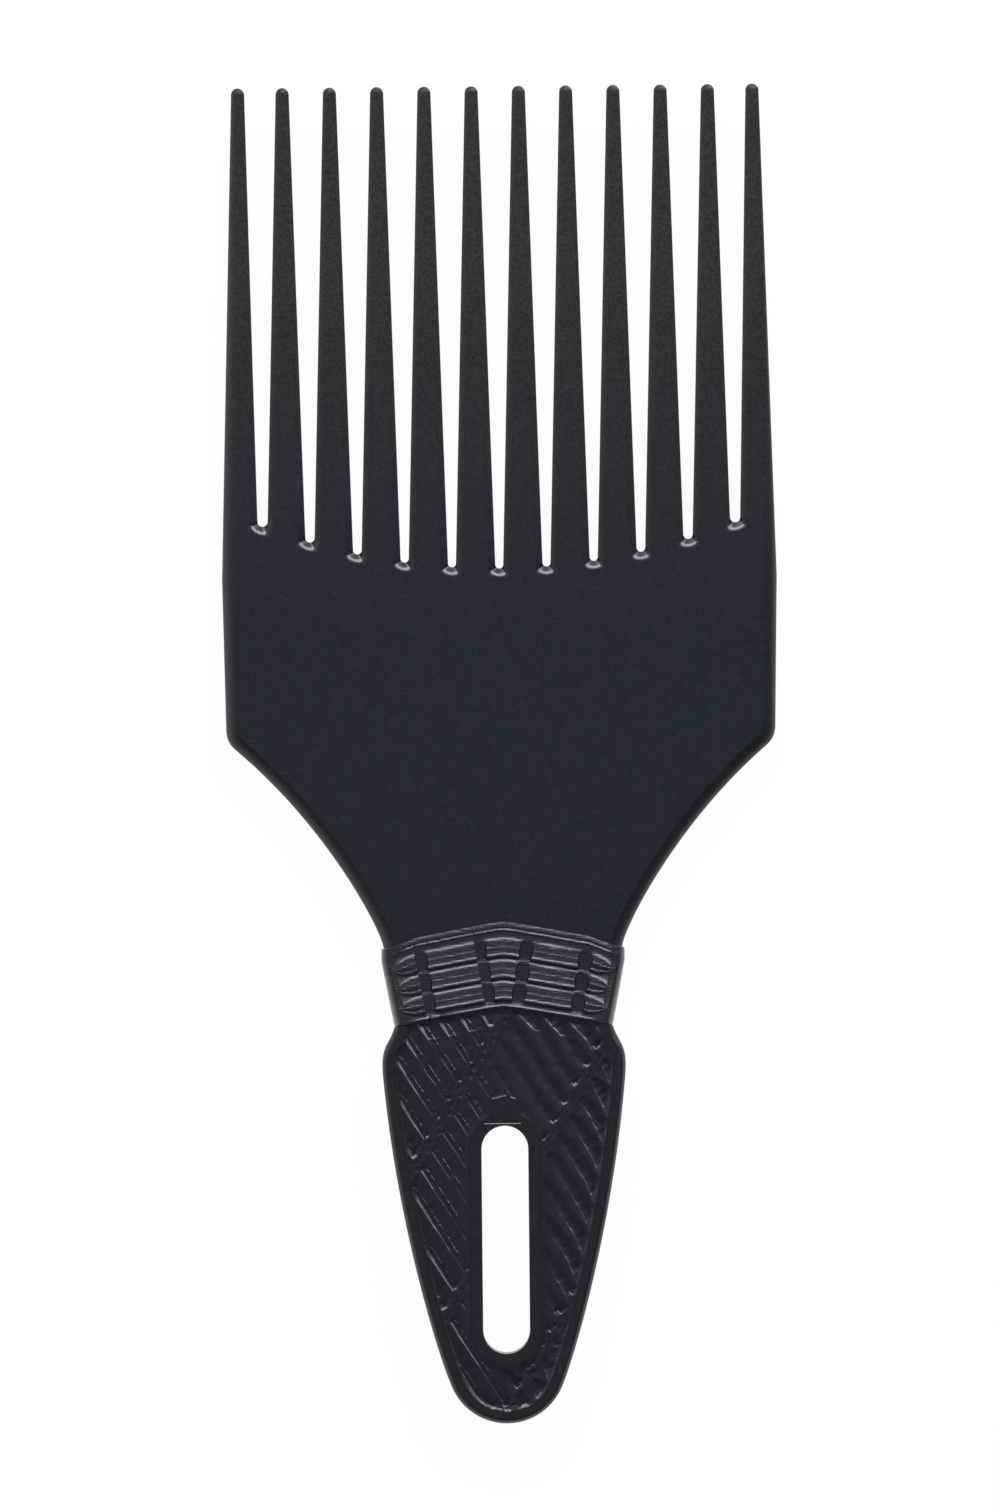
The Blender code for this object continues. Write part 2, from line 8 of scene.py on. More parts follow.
import math

import bmesh
import bpy
import numpy as np
from mathutils import Matrix, Vector


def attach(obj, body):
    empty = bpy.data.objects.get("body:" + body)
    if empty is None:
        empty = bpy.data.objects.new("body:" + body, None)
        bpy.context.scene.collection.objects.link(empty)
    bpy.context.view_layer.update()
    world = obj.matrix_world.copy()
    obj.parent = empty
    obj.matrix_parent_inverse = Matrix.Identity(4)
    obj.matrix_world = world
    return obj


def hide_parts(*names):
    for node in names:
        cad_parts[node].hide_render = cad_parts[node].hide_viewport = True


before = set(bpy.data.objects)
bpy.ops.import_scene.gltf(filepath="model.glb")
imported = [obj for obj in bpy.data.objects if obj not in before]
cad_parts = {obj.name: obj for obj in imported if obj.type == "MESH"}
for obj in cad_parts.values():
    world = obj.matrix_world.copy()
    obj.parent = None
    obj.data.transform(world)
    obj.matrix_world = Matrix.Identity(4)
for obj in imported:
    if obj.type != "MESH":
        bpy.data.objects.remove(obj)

# Overall
COMB_LENGTH = 0.2000
BLADE_THICKNESS = 0.0040
HANDLE_THICKNESS = 0.0080
JOIN_GAP = 0.00004
OVERRUN = 0.0040
MID_HEIGHT = HANDLE_THICKNESS / 2

# Teeth
TOOTH_COUNT = 12
TOOTH_PITCH = 0.00707
TOOTH_TIP_WIDTH = 0.00196
TOOTH_TIP_THICKNESS = 0.0021
TOOTH_EDGE_ROLL = 0.00075
TOOTH_EDGE_DROP = 0.00050
TIP_EDGE_DROP = 0.00033
TOOTH_ROOT_ROLL = 0.00105
TOOTH_BEVEL = 0.42
MIDDLE_TOOTH_LENGTH = 0.0722
MIDDLE_GAP_END_WIDTH = 0.00118
GAP_END_DISH = 0.00146
GAP_END_DROP = 0.00086
DISH_FLATNESS = 0.4
DISH_SHIFT_ANGLE = math.radians(7)
DISH_REACH_ANGLE = math.radians(42)
DISH_CLOSING_ANGLE = math.radians(34)
DISH_CURVED_SHARE = 0.57
ROOT_ARC_RADIUS = 0.0982
OUTER_TOOTH_LEAN = 0.0004
TIP_RADIUS = TOOTH_TIP_WIDTH / 2
TIP_CENTRE_HEIGHT = COMB_LENGTH - TIP_RADIUS
ROOT_HEIGHT = COMB_LENGTH - MIDDLE_TOOTH_LENGTH

# Head, shoulders and neck
HEAD_HALF_WIDTH = 0.0415
HEAD_WIDEST_HEIGHT = 0.1265
HEAD_FOOT_HALF_WIDTH = 0.04105
HEAD_FOOT_HEIGHT = 0.1022
HEAD_CORNER_RADIUS = 0.0037
HEAD_EDGE_ROLL = 0.0020
HEAD_EDGE_DROP = 0.0013
SHOULDER_START_HALF_WIDTH = 0.03948
SHOULDER_START_HEIGHT = 0.1008
SHOULDER_SLANT_ANGLE = math.radians(49.4)
SHOULDER_UPPER_PULL = 0.01807
SHOULDER_LOWER_PULL = 0.0022
NECK_HALF_WIDTH = 0.01785

# Tang, which runs through the collar into the handle
TANG_HALF_WIDTH = 0.0148
TANG_THICKNESS = 0.0028
TANG_END_HEIGHT = 0.0500
TANG_CHAMFER = 0.0030
TANG_CLEARANCE = 0.0003
SOCKET_HALF_WIDTH = TANG_HALF_WIDTH + TANG_CLEARANCE
SOCKET_HALF_HEIGHT = TANG_THICKNESS / 2 + TANG_CLEARANCE

# Collar
COLLAR_TOP_APEX = 0.0750
COLLAR_TOP_SIDE = 0.07105
COLLAR_FOOT_APEX = 0.0620
COLLAR_FOOT_SIDE = 0.05938
COLLAR_TOP_HALF_WIDTH = 0.0182
COLLAR_FOOT_HALF_WIDTH = 0.01633
COLLAR_STRAIGHT_SHARE = 0.16
COLLAR_DEPTH = COLLAR_TOP_APEX - COLLAR_FOOT_APEX
COLLAR_STEP = 0.00035
COLLAR_TOP_SLOPE_SHARE = 0.19
COLLAR_BEND = 0.0129
COLLAR_FACE_DROP = 0.00030
COLLAR_TOP_ROUNDING = 0.00016
COLLAR_FOOT_ROUNDING = 0.00010
APEX_ROUNDING = 0.0012

# Three cords run across the collar, and each ends in a leaf on either side
CORD_COUNT = 3
CORD_PITCH = 0.00325
FIRST_CORD_DEPTH = 0.0024
CORD_END = 0.0170
LEAF_START = 0.0141
LEAF_TIP = 0.0166
LEAF_TIP_SHARE = 0.48
LEAF_ROUNDNESS = 0.55
LEAF_LEAST_SHARE = 0.02
LEAF_STEPS = 8

# The lower part of each cord flattens towards the leaf
CORD_DIM_FROM = 0.0128
CORD_DIM_RUN = 0.0012
CORD_DIM_START_SHARE = 0.72
CORD_DIM_SHARE = 0.35

# Ends of the borders' ridges
RIDGE_END_LEFT = 0.0152
RIDGE_END_RIGHT = 0.0164
RIDGE_FADE = 0.0006
RIDGE_LEAST_SHARE = 0.12
LOWER_RIDGE_END = 0.0157
LOWER_RIDGE_FADE = 0.0010

# Notches in the cords, four columns of them
INNER_NOTCH_PLACE = 0.0038
OUTER_NOTCH_PLACE = 0.0126
NOTCH_HALF_WIDTH = 0.00080
NOTCH_WALL = 0.00018
NOTCH_BULGE = 0.00028
NOTCH_FALL = 0.00014

# Fine cuts across the upper border's highest ridge and across the lower border
UPPER_CUTS = (-0.01325, -0.01130, -0.00435)
LOWER_CUTS = (-0.01290, -0.01120, -0.00100)
CUT_HALF_WIDTH = 0.00008
CUT_WALL = 0.00004
CUT_RIDGE_HEIGHT = 0.00015

# Down each cord: depth below its own top and height of its skin
CORD_SECTION = (
    (0.0, 0.0), (0.00015, 0.00009), (0.00028, 0.000115), (0.00060, 0.00017),
    (0.00074, 0.00016), (0.00114, 0.00022), (0.00126, 0.00022), (0.00142, 0.00028),
    (0.00150, 0.00028), (0.00192, 0.00028), (0.00218, 0.00031), (0.00226, 0.00032),
    (0.00244, 0.00041), (0.00256, 0.00042), (0.00278, 0.00039), (0.00286, 0.0),
)
CORD_WIDTH = CORD_SECTION[-1][0]

# Down the upper and the lower border: depth below the collar's top and height
UPPER_BORDER = (
    (0.00010, 0.00001), (0.00028, 0.00005), (0.00052, 0.00008), (0.00082, 0.00011), (0.00094, 0.00006),
    (0.00104, 0.00007), (0.00126, 0.00017), (0.00134, 0.00017), (0.00146, 0.00001), (0.00200, 0.0),
)
LOWER_BORDER = (
    (0.01228, 0.0), (0.01243, 0.00003), (0.01256, 0.00010), (0.01270, 0.00010), (0.01286, 0.00002),
)

# Places across the comb of further points on the collar's face, its seat and its lower edge
FACE_PLACES = (0.0004, 0.0008, 0.0014, 0.0022, 0.0072)
SEAT_PLACES = (0.0100, 0.0060, 0.0040, 0.0025, 0.0015, 0.0008, 0.0004)
FOOT_PLACES = (0.0120, 0.0060, 0.0040, 0.0025, 0.0015, 0.0008, 0.0004)

# Handle
END_RADIUS = 0.00893
END_SWEEP_ANGLE = math.radians(25.3)
SIDE_LOWER_PULL = 0.00413
SIDE_UPPER_PULL = 0.0229
SIDE_TOP_HALF_WIDTH = 0.01811
SIDE_TOP_HEIGHT = 0.0519
SIDE_TOP_LEAN_SHARE = 0.088
HIP_PULL = 0.00486
NECK_PULL = 0.00289
NECK_LEAN_SHARE = 0.289
HANDLE_EDGE_ROLL = 0.00080
HANDLE_EDGE_DROP = 0.00080
RIM_WIDTH = 0.00175

# Hang slot and its lip
SLOT_WIDTH = 0.0070
SLOT_LOW_END = 0.0104
SLOT_HIGH_END = 0.0445
LIP_WIDTH = 0.0018
SLOT_MARK_SPAN = (-0.0030, 0.0024)
SLOT_MARK_HEIGHT = 0.04478
SLOT_MARK_DEPTH = 0.00005
SLOT_MARK_FADE = 0.0022
TAB_HALF_WIDTH = 0.00185
TAB_SHOULDER_HEIGHT = 0.0484
TAB_PEAK_HEIGHT = 0.0489

# Lit lines beside the tab and beside the rim round the butt: depth, and runs from the border at which
# they start, are deepest and end
TAB_LINE_SPANS = ((-0.0018, 0.0003), (0.0009, 0.0017))
TAB_LINE_BELOW = 0.0002
TAB_LINE_ABOVE = 0.0020
TAB_LINE_DEPTH = 0.00008
TAB_LINE_RUNS = (0, 0.00016, 0.0014)
BUTT_LINE_HEIGHT = 0.0033
BUTT_LINE_FADE = 0.0008
BUTT_LINE_DEPTH = 0.00017
BUTT_LINE_RUNS = (0, 0.00034, 0.0022)

# Grip panels. Their ground sinks to the rest depth over a run from the rim and one from the lip
PANEL_THICKNESS = 0.00145
PANEL_FACE = HANDLE_THICKNESS / 2
RECESS_FLOOR = PANEL_FACE - PANEL_THICKNESS
REST_DEPTH = 0.00006
REST_RIM_RUN = 0.0009
REST_SLOT_RUN = 0.0022
BORDER_WALL = 0.0004
COLLAR_NEARER_SHARE = 1.03

# Turns of the wrap, and the seams that cross them. A groove meets a seam as one, and points at more
# than an offset from it meet the seam by themselves
WRAP_ANGLE = math.radians(57.6)
WRAP_SIN = math.sin(WRAP_ANGLE)
WRAP_COS = math.cos(WRAP_ANGLE)
WRAP_PITCH = 0.00289
WRAP_FIRST_OFFSET = 0.00137
WRAP_WOBBLE = 0.00007
SEAM_ANGLE = math.radians(59.0)
SEAM_CROSSING = math.sin(WRAP_ANGLE + SEAM_ANGLE)
OWN_LINE_FROM = 0.0005
OWN_LINE_RUN = 0.0006

# Bands across the seams in which no groove runs
SEAM_BANDS = ((-0.0320, -0.0306), (-0.01675, -0.0153), (-0.00125, 0.0001))
SEAM_GRAIN = 0.00003
SEAM_GRAIN_REACH = 0.0006

# The grooves are crisp on the left and turn into soft ridges on the right
SOFTENING = (-0.0045, 0.0030)

# Crisp grooves. Fades run in from a groove's end and start, the rim, the collar and the slot's lip
CRISP_LINE_OFFSET = -0.00040
CRISP_DEPTH = 0.00006
CRISP_WALL = 0.00021
CRISP_RIM_REACH = 0.0026
CRISP_RIM_SHIFT = 0.0002
CRISP_RIM_WIDENING = 0.00045
CRISP_RIM_DEPTH = 0.00026
CRISP_COLLAR_REACH = 0.0010
CRISP_COLLAR_DEPTH = 0.0001
CRISP_FADES = (0.0003, 0.0006, 0.0005, 0.00025, 0.0008)

# Lens-shaped ground between each groove and its second line. The lens closes over runs to the groove's
# end and start, the rim and the slot's lip
LENS_WIDTH = 0.00076
LENS_RUNS = (0.0018, 0.0014, 0.0012, 0.0012)
LENS_START_SHARE = 0.7
LENS_FADE = 0.0001
LENS_GRAIN = 0.000016
LENS_RIM_GRAIN = 0.0000192
SECOND_LINE_HEIGHT = 0.00010
SECOND_LINE_HALF_WIDTH = 0.00018

# Soft ridges. Their fades have the same order, without the first, which is worked out
SOFT_DEPTH = 0.00018
SOFT_COLLAR_DEPTH = 0.00003
SOFT_COLLAR_REACH = 0.0012
SOFT_DARK_WIDTH = 0.00136
SOFT_NARROW_RUN = 0.003
SOFT_NARROW_SHARE = 0.5
SOFT_STRAIGHT_SHARE = 0.4
SOFT_LOW_OFFSET = -0.00020
SOFT_WAVER = 0.00008
SOFT_GRAIN = 0.000012
SOFT_END_WALL = 0.0003
SOFT_END_WIDENING = 0.0006
SOFT_END_RUN = 0.0004
SOFT_FADES = (0.0008, 0.0006, 0.00025, 0.0012)
CREST_PLACE = 0.00225
CREST_HEIGHT = 0.00009
CREST_WALL = 0.00016
CREST_LEAST_SHARE = 0.15
CREST_REACH = 0.0040
CREST_BEND = 0.0007
CREST_BEND_REACH = 0.0016

# Pressed marks at the seams, one for each turn: offset from the groove, place across the seams, length,
# half width, depth and lean
SEAM_MARKS = (
    (0.00008, -0.03210, 0.00130, 0.00032, 0.00016, 0.10),
    (-0.00108, -0.03070, 0.00140, 0.00028, 0.00013, 0.10),
    (-0.00050, -0.03130, 0.00190, 0.00050, 0.00007, 0.30),
    (0.00000, -0.01690, 0.00150, 0.00034, 0.00016, 0.60),
    (-0.00100, -0.01560, 0.00120, 0.00022, 0.00008, 0.20),
    (0.00048, -0.00135, 0.00120, 0.00036, 0.00017, 0.35),
    (-0.00060, 0.00040, 0.00160, 0.00030, 0.00013, -0.20),
)
MARK_SIZES = (0.65, 1.2)
MARK_SHIFT = 0.0002
MARK_FOOT_WALL = 0.00022
MARK_FOOT_WIDENING = 0.00045
MARK_TIP_POWER = 0.7
MARK_WALL_SHARE = 0.625
TURNS_BELOW = 2
TURNS_ABOVE = 6

# Rough ground where the last seam meets the butt
BUTT_MARKS_HEIGHT = 0.0180
BUTT_MARKS_FADE = 0.004
BUTT_MARKS_DEPTH = 0.00010
BUTT_MARKS_REACH = 0.0024

# Columns of the panels' mesh across one turn, and its step along the turns
WRAP_COLUMNS = (
    -0.00137, -0.00123, -0.00109, -0.00096, -0.00084, -0.00074, -0.00064, -0.00054, -0.00046,
    -0.00039, -0.00033, -0.00027, -0.00020, -0.00012, -0.00002, 0.00010, 0.00023, 0.00035,
    0.00044, 0.00051, 0.00058, 0.00065, 0.00073, 0.00085, 0.00100, 0.00118, 0.00135,
)
WRAP_STEP = 0.00015

# Fineness of the round stretches
EDGE_STEPS = 10
TIP_STEPS = 12
GAP_END_STEPS = 16
CORNER_STEPS = 10
CURVE_STEPS = 28

# Points closer than these are one point, and far is more than any distance on the comb
SAME_PLACE = 1e-9
WELD_REACH = 1e-7
PANEL_WELD_REACH = 2e-6
FAR = 1.0

# Edges that turn by more than these stay crisp
CRISP_ANGLE = math.radians(40)
HANDLE_CRISP_ANGLE = math.radians(17)
PANEL_CRISP_ANGLE = math.radians(60)

# Random values of the relief: seed, size of a cell, stretches on its two axes, least and greatest value
ROUGH_FIELDS = {
    "wobble": (1, 0.0024, 1, 1, -1, 1),
    "second_line": (2, 0.00036, 1, 0.2, -0.6, 1.8),
    "lens_grain": (3, 0.00030, 1, 1, 0, 1),
    "crest": (4, 0.0006, 1, 0.2, 0.4, 1.4),
    "soft_waver": (5, 0.0011, 1, 0.4, -1, 1),
    "soft_grain": (6, 0.0005, 1, 1, 0, 1),
    "seam_grain": (7, 0.0004, 1, 1, 0, 1),
    "butt_marks": (8, 0.0006, 1.3, 0.8, 0, 1),
    "crisp_waver": (9, 0.0010, 1, 0.1, 0.55, 1.45),
    "butt_line": (12, 0.0011, 1, 1, -2.4, 2.6),
}
ROUGH_CELLS = 64
FIRST_MARK_SEED = 10

# Finish: a noise is its scale per metre, its detail and, if that isn't a half, its roughness, and a span
# is the part of a noise that runs from none to full
MOTTLE_NOISE = (900, 4, 0.6)
MOTTLE_SPAN = (0.25, 0.75)
GRAIN_NOISE = (5200, 2)
STREAK_SCALES = (520, 4200, 520)
STREAK_NOISE = (1, 2)
STREAK_SPAN = (0.62, 0.76)
PATCH_NOISE = (190, 3)
PATCH_SPAN = (0.50, 0.64)
SPECK_NOISE = (3300, 2, 0.6)
SPECK_SPAN = (0.62, 0.72)
SCRATCH_COLOUR = (0.060, 0.062, 0.068, 1)
SPECK_COLOUR = (0.045, 0.046, 0.050, 1)
# Heights over which the teeth are painted lighter towards their tips: painted light for how light falls on
# them, with the nylon's grain over it
TIP_PAINTED_LIGHT_SPAN = (0.018, 0.072)
TIP_GRAIN_NOISE = (2200, 2)
TIP_GRAIN_SPAN = (0.42, 0.58)
TIP_GRAIN_GAIN = 1.7
SHINE_NOISE = (900, 4)
SHINE_SPAN = (0.3, 0.7)
SHINE_LOSS = 0.03
SHINE_GAIN = 0.04
SCRATCH_SHINE = 0.08
SCRATCH_GRAIN = 1.5
NYLON_SPECULAR = 0.6
BUMP_STRENGTH = 0.35
BUMP_DISTANCE = 0.00002
FIRST_COLOUR_SOCKET = 6
MIXED_COLOUR_SOCKET = 2
FINISHES = {
    "blade_nylon": {
        "dark": (0.0075, 0.0086, 0.0110, 1), "light": (0.0089, 0.0101, 0.0126, 1), "roughness": 0.25,
        # The blade's tip colour is painted light: the teeth's base colour grows lighter towards the tips
        "grain": 0.9, "scratches": 0.20, "specks": 0.45, "tip_painted_light_colour": (0.0144, 0.0134, 0.0146, 1),
    },
    "collar_nylon": {
        "dark": (0.0060, 0.0070, 0.0090, 1), "light": (0.0082, 0.0090, 0.0112, 1), "roughness": 0.27,
        "grain": 1.6, "scratches": 0.2, "specks": 0.40, "streaks": 6.0,
    },
    "handle_nylon": {
        "dark": (0.0066, 0.0074, 0.0093, 1), "light": (0.0084, 0.0092, 0.0111, 1), "roughness": 0.29,
        "grain": 0.8, "scratches": 0.1, "specks": 0.25,
    },
    "grip_nylon": {
        "dark": (0.0068, 0.0078, 0.0096, 1), "light": (0.0092, 0.0102, 0.0120, 1), "roughness": 0.29,
        "grain": 1.2, "scratches": 0.1, "specks": 0.35,
    },
}

# Picture: the camera, the ground, the dim room that the comb mirrors, and the lamp
CAMERA_PLACE = (-0.00016, 0.00013, 2.510)
CAMERA_ROLL = math.radians(-0.55)
CAMERA_LENS = 400
CAMERA_SENSOR = 36
CAMERA_REACH = 20
WHITE = 0.99
FLOOR_SIZE = 6.0
FLOOR_DROP = 0.00005
FLOOR_GLOW = 0.955
FLOOR_COLOUR = (0.05, 0.05, 0.05, 1)
ROOM_LIGHT_SIDE = (-0.30, 0.70, 0.648)
ROOM_DARK_UNTIL = 0.45
ROOM_DARK = 0.07
ROOM_BRIGHT = 0.42
HORIZON_BAND_TOP = 0.9
HORIZON_LEFT = 0.85
HORIZON_ELSEWHERE = 0.22
ROOM_TINT = (0.93, 0.97, 1.0, 1)
LAMP_PLACE = (0.26, 1.257, 0.98)
LAMP_SIZE = (2.58, 0.80)
LAMP_RADIANCE = 9.0
LAMP_TINT = (0.93, 0.96, 1.0)


def smooth(share):
    """Soft step from 0 to 1."""
    share = np.clip(share, 0, 1)
    return share * share * (3 - 2 * share)


def arc(centre_x, centre_y, radius, first, last, steps):
    """Points of a circular arc, its angles in radians from +X."""
    angles = [first + (last - first) * step / steps for step in range(steps + 1)]
    return [(centre_x + radius * math.cos(angle), centre_y + radius * math.sin(angle)) for angle in angles]


def bezier(start, first_pull, last_pull, end, steps):
    """Points of a cubic curve; the pulls are vectors from its two ends."""
    p0 = Vector(start)
    p3 = Vector(end)
    p1 = p0 + Vector(first_pull)
    p2 = p3 + Vector(last_pull)
    points = []
    for step in range(steps + 1):
        t = step / steps
        near_start = p0 * (1 - t) ** 3 + 3 * p1 * t * (1 - t) ** 2
        near_end = 3 * p2 * (1 - t) * t ** 2 + p3 * t ** 3
        points.append(tuple(near_start + near_end))
    return points


def rounded_corner(before, corner, after, radius, steps):
    """Arc that replaces the corner between two straight runs."""
    corner = Vector(corner)
    back = (Vector(before) - corner).normalized()
    ahead = (Vector(after) - corner).normalized()
    half = back.angle(ahead) / 2
    middle = (back + ahead).normalized()
    centre = corner + middle * radius / math.sin(half)
    start = corner + back * radius / math.tan(half) - centre
    end = corner + ahead * radius / math.tan(half) - centre
    spokes = [start.lerp(end, step / steps).normalized() * radius for step in range(steps + 1)]
    return [tuple(centre + spoke) for spoke in spokes]


def leaning(length, angle):
    """Vector that leans from +Y towards +X by an angle."""
    return length * math.sin(angle), length * math.cos(angle)


def mirrored(right_side, peak=None):
    """Closed outline from its right side, which runs upwards and may start or peak on the middle line."""
    left_side = [(-x, y) for x, y in reversed(right_side) if x > SAME_PLACE]
    middle = [] if peak is None else [(0, peak)]
    return right_side + middle + left_side


def inward(outline):
    """Inward mitre of each point of a counter-clockwise outline, for an inset of one."""
    mitres = []
    for index, point in enumerate(outline):
        before = Vector(point) - Vector(outline[index - 1])
        after = Vector(outline[(index + 1) % len(outline)]) - Vector(point)
        normal_before = Vector((-before.y, before.x)).normalized()
        normal_after = Vector((-after.y, after.x)).normalized()
        mitres.append((normal_before + normal_after) / (1 + normal_before.dot(normal_after)))
    return mitres


def add_object(name, data):
    """New object in the scene."""
    obj = bpy.data.objects.new(name, data)
    bpy.context.scene.collection.objects.link(obj)
    return obj


def place(name, bm):
    """Object from a bmesh drawn about the middle plane, its vertices set down in the frame's place."""
    bmesh.ops.recalc_face_normals(bm, faces=bm.faces)
    bmesh.ops.translate(bm, verts=bm.verts, vec=(0, -COMB_LENGTH / 2, MID_HEIGHT))
    mesh = bpy.data.meshes.new(name)
    bm.to_mesh(mesh)
    bm.free()
    return add_object(name, mesh)


def combine(obj, other, operation):
    """Boolean of a piece with a helper solid, which is then removed."""
    modifier = obj.modifiers.new(other.name, "BOOLEAN")
    modifier.operation = operation
    modifier.solver = "EXACT"
    modifier.object = other
    settle(obj)
    bpy.data.objects.remove(other)


def settle(obj):
    """Turns a piece's modifiers into its own mesh."""
    graph = bpy.context.evaluated_depsgraph_get()
    obj.data = bpy.data.meshes.new_from_object(obj.evaluated_get(graph))
    obj.modifiers.clear()


def soften(obj, crisp_angle):
    """Smooth shading, with crisp edges where the skin turns by more than an angle."""
    obj.data.shade_smooth()
    obj.data.set_sharp_from_angle(angle=crisp_angle)


def keep_faces_flat(obj):
    """Shades the large flat faces flat up to their rounded edges."""
    modifier = obj.modifiers.new("flat_faces", "WEIGHTED_NORMAL")
    modifier.keep_sharp = True


def prism(name, outline, low, high):
    """Straight solid between two heights."""
    bm = bmesh.new()
    floor = [bm.verts.new((x, y, low)) for x, y in outline]
    face = bm.faces.new(floor)
    grown = bmesh.ops.extrude_face_region(bm, geom=[face])["geom"]
    raised = [item for item in grown if isinstance(item, bmesh.types.BMVert)]
    bmesh.ops.translate(bm, verts=raised, vec=(0, 0, high - low))
    return place(name, bm)


def cut(obj, name, outline, low, high):
    """Takes a straight solid out of a piece."""
    combine(obj, prism(name, outline, low, high), "DIFFERENCE")


def skin(bm, loops):
    """Faces between each closed loop of vertices and the next."""
    for first, second in zip(loops, loops[1:]):
        for index in range(len(first)):
            after = (index + 1) % len(first)
            bm.faces.new((first[index], first[after], second[after], second[index]))


def edge_fall(share, bevel, dish):
    """Fall of an edge, 0 at the face and 1 at the side: a bevel with a round, blended with a dish."""
    curved = min(share, DISH_CURVED_SHARE)
    dished = curved ** 2 + 2 * DISH_CURVED_SHARE * (share - curved)
    dished /= 2 * DISH_CURVED_SHARE - DISH_CURVED_SHARE ** 2
    rolled = bevel * share + (1 - bevel) * share ** (2 + 2 * bevel)
    return rolled + (dished - rolled) * dish


def rolled_solid(outline, rolls, half_thickness):
    """Plate whose edge bends down from both faces, with a width, drop, bevel and dish for each point."""
    bm = bmesh.new()
    mitres = inward(outline)
    rings = []
    for step in range(EDGE_STEPS + 1):
        share = step / EDGE_STEPS
        ring = []
        for point, mitre, (width, drop, bevel, dish) in zip(outline, mitres, rolls):
            x, y = Vector(point) + mitre * width * share
            ring.append((x, y, half_thickness - drop * edge_fall(1 - share, bevel, dish)))
        rings.append(ring)
    layers = [[(x, y, -z) for x, y, z in ring] for ring in reversed(rings)] + rings
    verts = [[bm.verts.new(corner) for corner in layer] for layer in layers]
    skin(bm, verts)
    bm.faces.new(reversed(verts[0]))
    bm.faces.new(verts[-1])
    return bm


def collar_top(x):
    """Height of the collar's upper edge: a soft chevron that drops to level shoulders at its ends."""
    x = abs(x)
    if x >= CORD_END:
        return COLLAR_TOP_SIDE
    run = math.hypot(min(x, COLLAR_BEND), APEX_ROUNDING) - APEX_ROUNDING
    chevron = COLLAR_TOP_APEX - COLLAR_TOP_SLOPE_SHARE * run
    fall = max(0, x - COLLAR_BEND) / (CORD_END - COLLAR_BEND)
    return chevron + (COLLAR_TOP_SIDE - chevron) * fall


def collar_foot(x):
    """Height of the collar's lower edge, a plain soft chevron."""
    run = np.hypot(x, APEX_ROUNDING) - APEX_ROUNDING
    full_run = math.hypot(COLLAR_FOOT_HALF_WIDTH, APEX_ROUNDING) - APEX_ROUNDING
    return COLLAR_FOOT_APEX - (COLLAR_FOOT_APEX - COLLAR_FOOT_SIDE) * run / full_run


def across_comb(edge, places, gap):
    """Points at a gap over one edge of the collar, from the right side to the left."""
    right = [(x, edge(x) + gap) for x in places]
    left = [(-x, y) for x, y in reversed(right)]
    return right + [(0, edge(0) + gap)] + left


def tooth_width(height):
    """Width of a middle tooth at a height, from its root to the centre of its round tip."""
    root_width = TOOTH_PITCH - MIDDLE_GAP_END_WIDTH
    share = (TIP_CENTRE_HEIGHT - height) / (TIP_CENTRE_HEIGHT - ROOT_HEIGHT)
    return TOOTH_TIP_WIDTH + (root_width - TOOTH_TIP_WIDTH) * share


def gap_end(gap):
    """Centre and radius of the round end of one gap; the ends lie on a shallow arc."""
    x = (gap - TOOTH_COUNT / 2) * TOOTH_PITCH
    y = ROOT_HEIGHT + ROOT_ARC_RADIUS - math.sqrt(ROOT_ARC_RADIUS ** 2 - x ** 2)
    radius = (TOOTH_PITCH - tooth_width(y)) / 2
    return x, y + radius, radius


def tip_rolls():
    """Edge of a tooth's round tip at each point: it turns into a plain bevel at the top."""
    rolls = []
    for step in range(TIP_STEPS + 1):
        upright = math.sin(math.pi * step / TIP_STEPS)
        drop = TOOTH_EDGE_DROP + (TIP_EDGE_DROP - TOOTH_EDGE_DROP) * upright
        rolls.append((TOOTH_EDGE_ROLL, drop, TOOTH_BEVEL + (1 - TOOTH_BEVEL) * upright, 0))
    return rolls


def gap_end_rolls(gap_x, radius):
    """Edge of a gap's round end at each point: a dish that is turned with the arc of the gap ends."""
    rolls = []
    lean = math.asin(gap_x / ROOT_ARC_RADIUS)
    for step in range(GAP_END_STEPS + 1):
        angle = abs(math.pi * (step / GAP_END_STEPS - 0.5) + lean - DISH_SHIFT_ANGLE)
        dish_share = 1 - float(smooth((angle - DISH_REACH_ANGLE) / DISH_CLOSING_ANGLE))
        sweep = (radius + GAP_END_DISH) * (1 / math.cos(min(angle, DISH_REACH_ANGLE)) - 1)
        dish_width = GAP_END_DISH + DISH_FLATNESS * sweep
        width = TOOTH_ROOT_ROLL + (dish_width - TOOTH_ROOT_ROLL) * dish_share
        drop = TOOTH_EDGE_DROP + (GAP_END_DROP - TOOTH_EDGE_DROP) * dish_share
        rolls.append((width, drop, TOOTH_BEVEL, dish_share))
    return rolls


